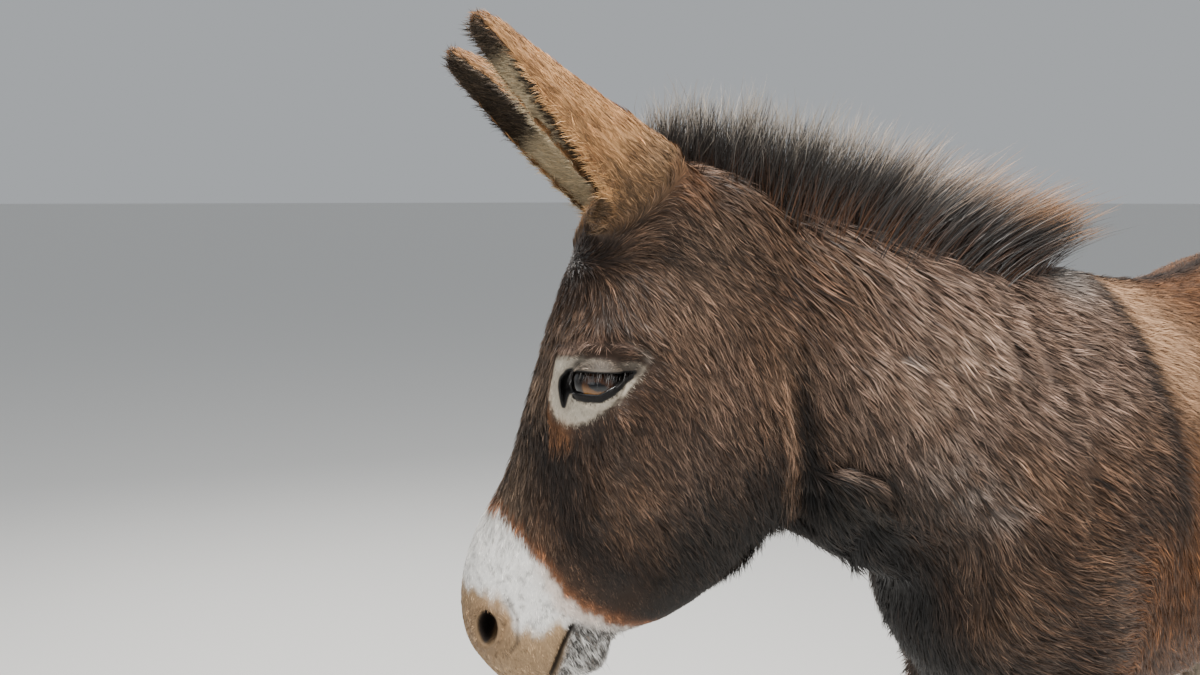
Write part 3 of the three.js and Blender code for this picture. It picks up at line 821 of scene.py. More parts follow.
def round_eyes(at, colours):
    """A cream ring, foxy below its front, under an olive band on the upper lid; the rims
    of the lids are bare and black."""
    by_eye = (np.abs(at.side) > 0.05) * (np.abs(at.down - 0.19) < 0.08)
    pale = outside_by(at.flat, eye_ring) + 0.0011 * waves(at.points, 0.005, 4)
    ring = rise(-pale, -0.0035, 0.0030) * by_eye
    above = rise(-at.down, -0.176, -0.166) * rise(-at.out, -0.062, -0.045)
    colours = blend(colours, ring * (1 - 0.45 * above), CREAM)
    foxy = np.maximum(hill(distance_to(at.flat, FOXY_EDGE), 0.0042),
                      hill(distance_to(at.flat, FOXY_EDGE[-1:]), 0.0095))
    colours = blend(colours, 0.85 * foxy * by_eye, FOXY)
    colours = stroke(colours, at.flat, UPPER_LID_BAND, 0.0050, 0.90 * by_eye, OLIVE)
    colours = stroke(colours, at.flat, [(0.1430, 0.0150), (0.1460, 0.0020), (0.1540, -0.0060)],
                     0.0028, 0.60 * by_eye, LID_ARC)
    rim = outside_by(at.flat, eye_outline)
    colours = blend(colours, 0.35 * by_eye * hill(rim - 0.002, 0.003), GRIZZLE)
    lid_edge = rise(-distance_to(at.flat, LID_EDGE), -0.0036, -0.0022)
    return blend(colours, by_eye * np.maximum(rise(-rim, -0.0018, -0.0006), lid_edge), WET_BLACK_AND_SHADE)


def on_muzzle(at, colours):
    """White behind a rusty band, fawn round the nostrils, mottled on the chin, painted shade
    in the nostrils, and black between the lips."""
    muzzle = (at.down > 0.28) * at.face
    wobble = 0.0022 * waves(at.points, 0.012, 5)
    to_lips = below_line(at.head, RUST_BAND) + wobble
    colours = blend(colours, 0.85 * hill(to_lips + 0.001, 0.0055) * muzzle, RUST_EDGE)
    colours = blend(colours, rise(to_lips, 0.000, 0.009) * muzzle, CHALK)
    blush = hill(to_lips - 0.010, 0.008) * muzzle * rise(-at.out, -0.045, -0.02)
    colours = blend(colours, 0.45 * blush, BLUSH)
    to_nose = below_line(at.head, BISCUIT_EDGE) + 1.6 * wobble
    colours = blend(colours, rise(to_nose, -0.006, 0.009) * muzzle, BISCUIT)

    chin = rise(-at.out, 0.006, 0.013) * rise(at.down, 0.388, 0.402) * at.face
    mottle = rise(0.7 * waves(at.points, 0.008, 6) + waves(at.points, 0.0022, 16), -1.1, 0.6)
    colours = blend(colours, chin, CHALK)
    colours = blend(colours, 0.95 * chin * mottle, CHIN_GREY)

    by_nostril = (np.abs(at.side) > 0.02) * (at.down > 0.37)
    rim = outside_by(at.flat, nostril_outline)
    colours = blend(colours, 0.5 * by_nostril * hill(rim - 0.004, 0.008), NOSTRIL_EDGE)
    colours = stroke(colours, at.flat, NOSTRIL_WING, 0.0016, 0.55 * by_nostril, WING_SHADE)
    # painted shade in the nostrils: dark in their mouths and black deep inside
    within = by_nostril * rise(-rim, -0.0008, 0.002)
    colours = blend(colours, within, NOSTRIL_SHADE)
    colours = blend(colours, within * rise(-rim, 0.002, 0.006), WET_BLACK_AND_SHADE)

    colours = stroke(colours, at.flat, MOUTH_LINE, 0.0030, 0.92 * (at.down > 0.392), WET_BLACK_AND_SHADE)
    colours = stroke(colours, at.flat, [(0.398, -0.012), (0.402, -0.026)], 0.006,
                     0.6 * (at.down > 0.385), SLATE)
    speck = rise(waves(at.points, 0.0065, 8), 0.90, 0.99) * rise(to_lips, 0.01, 0.02) * muzzle
    return blend(colours, 0.5 * speck * (1 - rise(to_nose, -0.004, 0.008)), SLATE)


def markings(points, normals):
    """The colour of the coat at points with outward normals, with its painted light and shade."""
    at = Spots(points, normals)
    colours = on_trunk(at)
    for marked in (on_throat_and_tail, on_ears, on_cheeks, round_eyes, on_muzzle):
        colours = marked(at, colours)
    return colours


hide = bpy.data.objects.new("hide", hide_mesh)
bpy.context.scene.collection.objects.link(hide)
points, edges = read(hide_mesh)
normals = normals_of(hide_mesh)


def tinted(mesh, colours):
    """Keeps a colour for each point of a mesh, under the name that the materials read."""
    tint = mesh.color_attributes.new("tint", "FLOAT_COLOR", "POINT")
    tint.data.foreach_set("color", np.c_[colours, np.ones(len(colours))].astype(np.float32).ravel())


def smooth(mesh):
    mesh.polygons.foreach_set("use_smooth", np.ones(len(mesh.polygons), bool))


def darkness(colours):
    """1 for the dark coats and 0 for the pale ones."""
    return rise(-colours.mean(1), -0.35, -0.15)[:, None]


colours = markings(points, normals)
# The skin under the coat is darker, most under the dark coats and less on the barrel: the dark
# undercoat, and painted shade in the gaps between the tufts.
on_barrel = rise(-(points - withers)[:, :1], -0.02, 0.10)
tinted(hide_mesh, colours * (0.92 - (0.42 - 0.30 * on_barrel) * darkness(colours)))
smooth(hide_mesh)


# ---------------------------------------------------------------------------------
# The skin's own flat pattern. The skin and every tuft that grows from it take their place
# on it, so that skin and coat can be painted alike.

PATTERN = "OFBake"
hide_mesh.uv_layers.new(name=PATTERN)
bpy.context.view_layer.objects.active = hide
hide.select_set(True)
bpy.ops.object.mode_set(mode="EDIT")
bpy.ops.mesh.select_all(action="SELECT")
bpy.ops.uv.smart_project(angle_limit=1.15, island_margin=0.002, scale_to_bounds=True)
bpy.ops.object.mode_set(mode="OBJECT")


def node(tree, kind, inputs=None, **settings):
    """A node with its settings and inputs, each input a value or another node's output."""
    made = tree.nodes.new("ShaderNode" + kind)
    for name, value in settings.items():
        setattr(made, name, value)
    for name, value in (inputs or {}).items():
        if isinstance(value, bpy.types.NodeSocket):
            tree.links.new(value, made.inputs[name])
        else:
            made.inputs[name].default_value = value
    return made


def grain(tree, scale, detail=2.0):
    """Noise over the object's own place."""
    place = node(tree, "TexCoord").outputs["Object"]
    noise = node(tree, "TexNoise", {"Vector": place, "Scale": scale, "Detail": detail})
    return noise.outputs["Fac"]


def tinted_paint(name, roughness, specular, scale, detail, least, most):
    """A material in a mesh's own colours, from least to most of them in grains of a scale."""
    made, tree, shader = material(name, roughness, specular)
    tint = node(tree, "Attribute", attribute_name="tint").outputs["Color"]
    grains = node(tree, "MapRange", {
        "Value": grain(tree, scale, detail), "To Min": least, "To Max": most})
    mixed = node(tree, "VectorMath", {0: tint, 1: grains.outputs["Result"]}, operation="MULTIPLY")
    tree.links.new(mixed.outputs["Vector"], shader.inputs["Base Color"])
    return made, tree, shader


skin_paint, tree, shader = tinted_paint("skin_paint", 0.62, 0.25, 260, 4, 0.72, 1.22)
pores = node(tree, "Bump", {"Height": grain(tree, 900, 3), "Strength": 0.35, "Distance": 0.0006})
tree.links.new(pores.outputs["Normal"], shader.inputs["Normal"])
hide_mesh.materials.append(skin_paint)
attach(hide, "root")
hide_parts(*(name for name in flesh if "eye" not in name))


# ---------------------------------------------------------------------------------
# The coat: short flat tufts, rooted in the skin and lying one over the next, as the hair
# of a donkey in summer. It runs from a whorl on the forehead down the face and back over
# the cheeks, down and back over the neck and the trunk, and straight down the legs.

TUFTS = 420000
IN_A_LOCK = 11  # tufts that lean together


def way_on_face(head):
    """Which way the hair of the face lies: down it and back, and out from the eyes and the
    nostrils."""
    down, side, out = head.T
    front = rise(out, -0.01, 0.06)
    crown = rise(-down, -0.14, -0.05)
    run_down = (0.72 + 0.28 * front) * (1 - crown) + crown * (0.35 - 1.1 * front)
    run_out = -(0.74 * (1 - front)) - 0.2 * crown
    run_side = 0.30 * np.sign(side) * front
    face_run = np.c_[run_down, run_side, run_out]
    for centre, width, strength in ((EYE, 0.034, 2.6), (NOSTRIL, 0.022, 1.2)):
        away = (head - centre) * (1, 0, 1)
        near = hill(np.linalg.norm(away, axis=1), width)[:, None]
        face_run = face_run + strength * near * unit(away)
    return face_run @ head_axes


def way_on_body(forward, height, normals):
    """Which way the hair of the neck, the trunk and the legs lies: back and down."""
    low = rise(-height, -0.80, -0.68)
    forehand = rise(forward, 0.0, 0.06)
    neck = rise(forward, 0.14, 0.26)
    back = np.interp(forward, [-0.55, -0.40, -0.10, 0.02, 0.16, 0.30],
                     [0.35, 0.75, 0.90, 0.80, 0.72, 0.60])
    back = back + low * (forehand * (1 - neck) * 0.25 - (1 - forehand) * 0.45)
    belly = rise(-normals[:, 2], 0.2, 0.8) * (height > 0.45)
    leg = rise(-height, -0.58, -0.48)
    back = back * (1 - leg) + 0.08 * leg + 0.5 * belly
    return np.c_[-back, np.zeros(len(back)), -np.sqrt(np.maximum(1 - back ** 2, 0.05))]


def way_on_ears(head, normals):
    """Which way the hair of the ears lies: up them, and out of their mouths."""
    lining = on_ear(head, normals)[3][:, None]
    way = np.empty_like(head)
    for side in EARS:
        mine = head[:, 1] * side > 0
        _, _, up, opening, across = ear_frame(side, head[mine])
        way[mine] = (up + lining[mine] * (0.8 * opening - 0.3 * side * across)) @ head_axes
    return way


def lie(points, normals):
    """Which way the coat lies at points of the skin."""
    head = on_head(points)
    place = points - withers
    way = way_on_body(place[:, 0], points[:, 2], normals)
    way = way + (way_on_face(head) - way) * on_face(head, 0.03, 0.015)[:, None]
    way = way + (way_on_ears(head, normals) - way) * in_ear(head)[:, None]
    from_whorl = place - THROAT_WHORL
    whorl = hill(np.linalg.norm(from_whorl, axis=1), 0.026)[:, None]
    way = way + 1.5 * whorl * unit(from_whorl + (-0.008, 0, -0.016))
    ripple = np.c_[waves(points, 0.060, 11), waves(points, 0.060, 12), waves(points, 0.060, 13)]
    way = unit(way) + 0.08 * ripple
    way = way - normals * (way * normals).sum(1)[:, None]
    return unit(way)


def on_chin(head):
    """1 on the chin, whose hair stands off it."""
    return rise(-head[:, 2], 0.010, 0.018) * rise(head[:, 0], 0.388, 0.402)


def coat_length(points, normals):
    """How long the hair is at points of the skin."""
    head = on_head(points)
    down, side, out = head.T
    height = points[:, 2]
    place = points - withers
    face = on_face(head, 0.02, 0.02)
    length = np.interp(place[:, 0], [-0.5, -0.1, 0.1, 0.3], [0.019, 0.019, 0.022, 0.025])
    length = length + 0.005 * rise(-normals[:, 2], 0.2, 0.8)
    under_mane = rise(height, 0.92, 0.99) * rise(place[:, 0], 0.05, 0.15)
    length = length + 0.010 * under_mane
    length = length * (1 - face) + face * (0.0145 + 0.004 * rise(-out, 0.02, 0.08))
    jaw = face * rise(-normals @ np.array(out_of_face), 0.3, 0.8)
    length = length + 0.008 * jaw
    length = length - (length - 0.0046) * rise(down, 0.30, 0.36) * face
    length = length + 0.0035 * on_chin(head) * face
    by_eye = hill(np.maximum(outside_by(head[:, [0, 2]], eye_ring), 0), 0.012)
    by_eye = by_eye * (np.abs(side) > 0.05)
    length = length - (length - 0.0042) * by_eye * face
    length = length - (length - 0.0090) * rise(-height, -0.56, -0.42)
    length = length - (length - 0.0055) * rise(-height, -0.20, -0.08)
    return length - (length - 0.0100) * in_ear(head)


def coat_density(points):
    """How close the tufts stand, against those of the neck."""
    head = on_head(points)
    down, side = head[:, 0], head[:, 1]
    place = points - withers
    face = on_face(head, 0.03, 0.02)
    density = np.interp(place[:, 0], [-0.20, -0.02, 0.10, 0.25], [0.38, 0.52, 0.90, 1.0])
    density = density + (1.25 - density) * face
    density = density + (1.9 - density) * rise(down, 0.30, 0.34) * face
    density = density + (2.2 - density) * hill(np.linalg.norm(mirrored(head) - EYE, axis=1), 0.05)
    density = density + (0.55 - density) * rise(-points[:, 2], -0.56, -0.48)
    density = density + (1.3 - density) * in_ear(head)
    flat = head[:, [0, 2]]
    open_eye = (outside_by(flat, eye_outline) < 0.0022) & (np.abs(side) > 0.05)
    open_nostril = (outside_by(flat, nostril_outline) < 0.0012) & (np.abs(side) > 0.02)
    mouth = (distance_to(flat, MOUTH_LINE) < 0.0018) & (down > 0.39)
    sole = points[:, 2] < 0.060
    return np.where(open_eye | open_nostril | mouth | sole, 0, density)


def scattered(mesh, density, count, seed):
    """Roots spread over a mesh: their places, outward normals and places on the pattern."""
    chance = np.random.default_rng(seed)
    mesh.calc_loop_triangles()
    triangles = array_of(mesh.loop_triangles, "vertices", 3, np.int32)
    loops = array_of(mesh.loop_triangles, "loops", 3, np.int32)
    normals = normals_of(mesh)
    pattern = array_of(mesh.uv_layers[PATTERN].uv, "vector", 2)
    corner = read(mesh)[0][triangles]
    sides = corner[:, 1:] - corner[:, :1]
    area = np.linalg.norm(np.cross(sides[:, 0], sides[:, 1]), axis=1) / 2
    ladder = np.cumsum(area * density(corner.mean(1)))
    rungs = (np.arange(count) + chance.random(count)) / count * ladder[-1]
    chosen = np.minimum(np.searchsorted(ladder, rungs), len(triangles) - 1)
    one, two = chance.random((2, count))
    over = one + two > 1
    one, two = np.where(over, 1 - one, one), np.where(over, 1 - two, two)
    share = np.c_[1 - one - two, one, two][:, :, None]
    return ((corner[chosen] * share).sum(1), unit((normals[triangles[chosen]] * share).sum(1)),
            (pattern[loops[chosen]] * share).sum(1))


PATCH = 0.003  # how much of the pattern one tuft takes


def blades(name, spines, across, colours, roots_on_pattern):
    """Many thin blades as one mesh. Each follows a spine of a few spots, reaches to each
    side as across says, and ends in a tip."""
    count, spots = spines.shape[:2]
    body = np.stack([spines[:, :-1] - across, spines[:, :-1] + across], 2).reshape(count, -1, 3)
    points = np.concatenate([body, spines[:, -1:]], 1)
    each = 2 * spots - 1
    steps = range(0, each - 3, 2)
    faces = [(k, k + 1, k + 3) for k in steps] + [(k, k + 3, k + 2) for k in steps]
    faces.append((each - 3, each - 2, each - 1))
    faces = (np.arange(count)[:, None, None] * each + np.array(faces)).reshape(-1, 3)
    made = mesh_of(name, points.reshape(-1, 3), faces)
    shades = np.concatenate([np.repeat(colours[:, :-1], 2, 1), colours[:, -1:]], 1)
    tinted(made.data, shades.reshape(-1, 3))
    level = np.arange(each) // 2 / spots
    patch = np.c_[np.arange(each) % 2 - 0.5, level] * PATCH
    pattern = (roots_on_pattern[:, None] + patch).reshape(-1, 2)
    layer = made.data.uv_layers.new(name=PATTERN)
    layer.uv.foreach_set("vector", pattern[faces.ravel()].astype(np.float32).ravel())
    smooth(made.data)
    return made


coat_paint, tree, shader = tinted_paint("coat_paint", 0.50, 0.28, 420, 2, 0.80, 1.20)
shader.inputs["Sheen Weight"].default_value = 0.05
shader.inputs["Sheen Roughness"].default_value = 0.45

rng = np.random.default_rng(7)
count = TUFTS
roots, normals, on_pattern = scattered(hide_mesh, coat_density, count, 21)
way = lie(roots, normals)
side = np.cross(way, normals)
length = coat_length(roots, normals) * rng.uniform(0.75, 1.25, count)

# Tufts lean towards the middle line of the lock that they are nearest.
leaders = rng.permutation(count)[:count // IN_A_LOCK]
middle_lines = kdtree.KDTree(3 * len(leaders))
for step in (0.0, 0.5, 1.0):
    spots = roots[leaders] + way[leaders] * (length[leaders] * step)[:, None]
    for index, spot in enumerate(spots.tolist()):
        middle_lines.insert(spot, index)
middle_lines.balance()
lock = np.array([middle_lines.find(root)[1] for root in roots.tolist()])
to_lock = roots[leaders][lock] - roots
to_lock = side * (to_lock * side).sum(1)[:, None]
own_turn, own_bend, own_lift, own_shade = rng.normal(size=(4, len(leaders)))[:, lock]

turn = 0.09 * own_turn + 0.05 * rng.normal(size=count)
bend = 0.08 * own_bend + 0.07 * rng.normal(size=count)
place = roots - withers
RUFFLED = [(0.260, 0.010, 0.980), (0.190, 0.030, 0.950), (0.110, 0.060, 0.910)]
RUFFLE = 0.036  # from one crest of the ruffled hair to the next
ruffled = hill(distance_to(place, RUFFLED), 0.050)
ruffle = ruffled * np.sin(place[:, 0] * 2 * math.pi / RUFFLE + 2.2 * waves(roots, 0.12, 14))
whorl = hill(np.linalg.norm(place - THROAT_WHORL, axis=1), 0.030)
lift = 0.15 + 0.05 * own_lift + 0.06 * rng.normal(size=count) + 0.16 * ruffle + 0.20 * whorl
lift = np.clip(lift, 0.03, 0.75) * np.where(length < 0.006, 0.7, 1)
lift = lift + 0.35 * on_chin(on_head(roots)) * rng.uniform(0.3, 1.2, count)
roll = 0.5 * rng.normal(size=count)
flat = side * np.cos(roll)[:, None] + normals * np.sin(roll)[:, None]
wide = (0.00014 + 0.0105 * length) * rng.uniform(0.6, 1.4, count)

spines = np.empty((count, 3, 3))
spines[:, 0] = roots - normals * 0.0004
for spot, share in ((1, 0.5), (2, 1.0)):
    spines[:, spot] = (
        roots + way * (length * share)[:, None]
        + side * (length * (turn * share + bend * share ** 2))[:, None]
        + normals * (length * (lift * share - 0.10 * share ** 2))[:, None]
        + to_lock * (0.62 * share ** 1.5 * np.minimum(length / 0.010, 1))[:, None])
across = np.stack([flat * (wide * 0.8)[:, None], flat * wide[:, None]], 1)

# Dark coats vary most from lock to lock, and many of their hairs have dusty tips.
base = markings(roots, normals)
dark = darkness(base)[:, 0]
on_barrel = rise(-place[:, 0], -0.02, 0.10)
vary = (0.40 - 0.18 * on_barrel) * own_shade + 0.34 * rng.normal(size=count)
# over the ruffled hair the tufts are painted lighter where they lift and darker where they lie, as
# painted light and shade of the ripples, and the ruffled patch a little darker as a whole
vary = vary + 0.55 * ruffle - 0.30 * ruffled - 0.06
brightness = np.exp(vary * (0.40 + 0.60 * dark))
base = base * brightness[:, None]
sooty = rise(-base.mean(1), -0.045, -0.020)
frost = (rng.random(count) < 0.24) * dark * rng.uniform(0.2, 0.95, count) * (1 - 0.8 * sooty)
frost = frost * (1 - 0.8 * rise(-roots[:, 2], -0.60, -0.45))
tip = blend(base, frost * (1 - 0.5 * on_barrel), dye("a58b76"))
# Each tuft is darker at its root and lighter at its tip: partly the dark undercoat, partly painted
# shade between the locks and painted light on their tips.
root_shade_share = 0.85 - 0.60 * dark[:, None]
colours = np.stack([base * root_shade_share, base * (0.95 - 0.15 * dark[:, None]), tip * 1.12], 1)


def part_of_coat(points):
    """The part of the body that each root is on."""
    head = on_head(points)
    place = points - withers
    face = (ahead_of_cheek(head) > 0) & (head[:, 0] < 0.55)
    part = np.full(len(points), "barrel", "U16")
    part[place[:, 0] < -0.36] = "hindquarters"
    part[place[:, 0] > 0.00] = "shoulder"
    part[place[:, 0] > 0.17] = "neck"
    part[points[:, 2] < 0.52] = "legs"
    part[face] = "cheek"
    part[face & (head[:, 0] > 0.29)] = "muzzle"
    part[in_ear(head) > 0.5] = "ear"
    middle = np.where(face | (part == "ear"), head[:, 1], place[:, 1])
    return np.char.add(part, np.where(middle > 0, "_left", "_right"))


parts = part_of_coat(roots)
for name in np.unique(parts):
    mine = parts == name
    piece = blades(f"coat_{name}", spines[mine], across[mine], colours[mine], on_pattern[mine])
    piece.data.materials.append(coat_paint)
    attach(piece, "root")


# ---------------------------------------------------------------------------------
# Eyes: a ball with a clear bulging front, over an iris that is amber below and dark brown
# above, partly its own colour and partly painted shade, and a long pupil, which lies level
# when the donkey grazes. The lids leave about half of it to be seen, and a thread of tears
# lies along the lower one.

IRIS = 0.0128  # its radius
PUPIL = (0.0034, 0.0080)  # half its height and half its length
BULGE = 0.0014  # how far the clear front stands out of the ball
SLACK = 0.0003  # how much smaller the ball is than the hollow of the lids
TEARS = np.array([  # share of the way along the lower lid, down the face, out of it
    (0, 0.1959, 0.0481), (0.25, 0.1937, 0.0399), (0.5, 0.1902, 0.0275),
    (0.75, 0.1798, 0.0155), (1, 0.1722, 0.0079)])
eye_paint = tinted_paint("eye_paint", 0.05, 0.6, 900, 3, 0.6, 1.4)[0]
tear_paint, tree, shader = material("tear_paint", 0.06, 0.8)
wet = node(tree, "MapRange", {"Value": grain(tree, 600), "To Min": 0.02, "To Max": 0.05})
tree.links.new(wet.outputs["Result"], shader.inputs["Base Color"])


def read_off(table, places):
    """What the other columns of a table say at places along its first one."""
    return [np.interp(places, table[:, 0], column) for column in table.T[1:]]


def ring_faces(rings, spokes):
    """The faces between rings of as many points each."""
    order = np.arange(rings * spokes).reshape(rings, spokes)
    after = np.roll(order, -1, 1)
    return np.stack([order[:-1], after[:-1], after[1:], order[1:]], -1).reshape(-1, 4)


def globe(name, side, rings=40, spokes=72):
    """One eyeball, as rings round the way that it looks."""
    look = unit(np.array([0.10, side, 0.06]))
    upward = unit(np.array([0, 0, 1.0]) - look * look[2])
    lower = np.cross(look, upward) * side
    angle = np.linspace(0, math.pi, rings)[:, None]
    turn = np.arange(spokes)[None, :] * 2 * math.pi / spokes
    radius = GLOBE - SLACK + BULGE * rise(-angle, -0.75, -0.1)
    across = radius * np.sin(angle)
    u, v = across * np.cos(turn), across * np.sin(turn)
    centre = EYE * (1, side, 1)
    places = (centre + u[..., None] * upward + v[..., None] * lower
              + (radius * np.cos(angle) * np.ones_like(turn))[..., None] * look)
    faces = ring_faces(rings, spokes)
    if side > 0:
        faces = faces[:, ::-1]
    made = mesh_of(name, off_head(places.reshape(-1, 3)), faces)
    off_axis = np.broadcast_to(across, u.shape) + (angle > math.pi / 2)
    pupil = np.hypot(u / PUPIL[1], v / PUPIL[0]).ravel()
    # the iris: amber below, and dark brown above, partly its own colour and partly painted shade
    shades = blend(dye("3a2417"), rise(v.ravel(), 0.000, 0.009), dye("8a5c24"))
    shades = blend(shades, rise(off_axis.ravel(), IRIS - 0.001, IRIS + 0.0008), dye("120d0b"))
    shades = blend(shades, rise(-pupil, -1.12, -0.95), dye("04060a"))
    tinted(made.data, shades)
    smooth(made.data)
    return made


def tube(name, path, radius, sides=8):
    """A round thread along a path, thin at its ends."""
    run = unit(np.gradient(path, axis=0))
    across = unit(np.cross(run, np.array(to_left)))
    out = np.cross(run, across)
    turn = np.arange(sides) * 2 * math.pi / sides
    taper = radius * np.sqrt(np.sin(np.linspace(0.06, math.pi - 0.06, len(path))))
    ring = np.cos(turn)[:, None] * across[:, None] + np.sin(turn)[:, None] * out[:, None]
    points = path[:, None] + ring * taper[:, None, None]
    made = mesh_of(name, points.reshape(-1, 3), ring_faces(len(path), sides))
    smooth(made.data)
    return made


def over_globe(side, flat, lift):
    """Places over the eyeball, that far off it."""
    from_eye = np.hypot(flat[:, 0] - EYE[0], flat[:, 1] - EYE[2])
    out = EYE[1] + np.sqrt(np.maximum((GLOBE + lift) ** 2 - from_eye ** 2, 0.00002))
    return off_head(np.c_[flat[:, 0], side * out, flat[:, 1]])


for side, name in ((1, "left"), (-1, "right")):
    ball = globe(f"eyeball_{name}", side)
    ball.data.materials.append(eye_paint)
    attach(ball, "root")
    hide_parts(f"eye_{name}")
    tear_line = np.stack(read_off(TEARS, np.linspace(0, 1, 25)), 1)
    tears = tube(f"tears_{name}", over_globe(side, tear_line, 0.0004), 0.0008)
    tears.data.materials.append(tear_paint)
    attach(tears, "root")


# ---------------------------------------------------------------------------------
# Lashes along the upper lids, and the bristles of the chin: single stiff hairs, thicker
# than those of the coat.

hair_paint = tinted_paint("hair_paint", 0.42, 0.4, 300, 2, 0.78, 1.25)[0]


def swept(roots, ways, lengths, droop, spots, curl, chance):
    """Spines that leave their roots one way and bend by the droop, with a curl of their own."""
    share = np.linspace(0, 1, spots)[None, :, None]
    spines = roots[:, None] + (ways * lengths[:, None])[:, None] * share
    spines = spines + (droop * lengths[:, None])[:, None] * share ** 2
    phase = chance.uniform(0, 2 * math.pi, (len(roots), 1, 3))
    turns = chance.uniform(3, 7, (len(roots), 1, 3))
    return spines + curl[:, None, None] * np.sin(turns * share + phase) * share ** 1.5


def widths(spines, wide, chance):
    """Half-widths across each spine, facing any way round it."""
    run = unit(np.gradient(spines, axis=1))
    some_way = unit(chance.normal(size=(len(spines), 1, 3)))
    across = unit(np.cross(run, some_way))[:, :-1]
    profile = np.linspace(1, 0.45, across.shape[1])[:, None]
    return across * profile * np.asarray(wide).reshape(-1, 1, 1)


chance = np.random.default_rng(31)
LASHES = 110
LASH_LINE = np.array([  # share of the way along the upper lid, down the face, out of it
    (0, 0.1782, 0.0544), (0.25, 0.1744, 0.0457), (0.5, 0.1711, 0.0333), (0.8, 0.1678, 0.0170),
    (1, 0.1651, 0.0047)])
for side, name in ((1, "left"), (-1, "right")):
    share = chance.random(LASHES)
    roots = over_globe(side, np.stack(read_off(LASH_LINE, share), 1), 0.0022)
    ways = np.c_[0.55 + 0.2 * chance.normal(size=LASHES), side * np.full(LASHES, 0.80),
                 0.25 * (0.6 - share) + 0.10 * chance.normal(size=LASHES)] @ head_axes
    droop = np.tile(np.array(down_face) * 0.35, (LASHES, 1))
    lengths = chance.uniform(0.009, 0.015, LASHES)
    spines = swept(roots, unit(ways), lengths, droop, 5, np.full(LASHES, 0.0005), chance)
    colours = np.tile(dye("1a1513"), (LASHES, 5, 1))
    lashes = blades(f"lashes_{name}", spines, widths(spines, 0.00028, chance), colours,
                    np.tile([0.5, 0.5], (LASHES, 1)) + 0.1 * chance.random((LASHES, 2)))
    lashes.data.materials.append(hair_paint)
    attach(lashes, "root")


def bristly(points):
    """Where the bristles stand: close on the chin, and few on the lips."""
    head = on_head(points)
    chin = (head[:, 0] > 0.400) & (head[:, 2] < -0.012)
    lip = (head[:, 0] > 0.400) & (head[:, 2] < 0.045)
    return chin + 0.06 * lip


BRISTLES = 700
roots, normals, on_pattern = scattered(hide_mesh, bristly, BRISTLES, 33)
ways = unit(normals + 0.5 * np.array(down_face) + 0.25 * chance.normal(size=roots.shape))
lengths = chance.uniform(0.006, 0.017, BRISTLES)
droop = np.tile([0.0, 0.0, -0.25], (BRISTLES, 1))
spines = swept(roots, ways, lengths, droop, 5, np.full(BRISTLES, 0.0008), chance)
shade = chance.random(BRISTLES)[:, None]
colours = np.repeat((dye("e8e4de") * shade + dye("6a625c") * (1 - shade))[:, None], 5, 1)
bristles = blades("bristles", spines, widths(spines, 0.00024, chance), colours, on_pattern)
bristles.data.materials.append(hair_paint)
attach(bristles, "root")


# ---------------------------------------------------------------------------------
# The mane: a stiff crest of charcoal hair that stands up along the neck from the withers
# to the poll. Its tips are silver and frizzy in front, foxy and swept back behind.

MANE = np.array([  # place along the neck, height of the top, how tall, half its thickness
    (0.13, 1.038, 0.030, 0.008), (0.17, 1.062, 0.056, 0.013), (0.27, 1.083, 0.078, 0.018),
    (0.42, 1.098, 0.083, 0.021), (0.58, 1.119, 0.088, 0.022), (0.72, 1.142, 0.088, 0.023),
    (0.84, 1.155, 0.088, 0.023), (0.93, 1.158, 0.086, 0.020), (0.99, 1.144, 0.068, 0.012)])
WISPS = 1500
front = np.array(to_front)[:2]
poll_in_plan = np.array(poll)[:2]
PLAN = np.array([withers[:2] + (-0.060, 0), withers[:2] + (0.150, 0),
                 poll_in_plan - 0.170 * front, poll_in_plan + 0.030 * front])


def crest(place):
    """The plan of the neck's crest and its course, at places from the withers to the poll."""
    t = place[:, None]
    spots = ((1 - t) ** 3 * PLAN[0] + 3 * t * (1 - t) ** 2 * PLAN[1]
             + 3 * t ** 2 * (1 - t) * PLAN[2] + t ** 3 * PLAN[3])
    course = unit((1 - t) ** 2 * (PLAN[1] - PLAN[0]) + 2 * t * (1 - t) * (PLAN[2] - PLAN[1])
                  + t ** 2 * (PLAN[3] - PLAN[2]))
    return spots, course


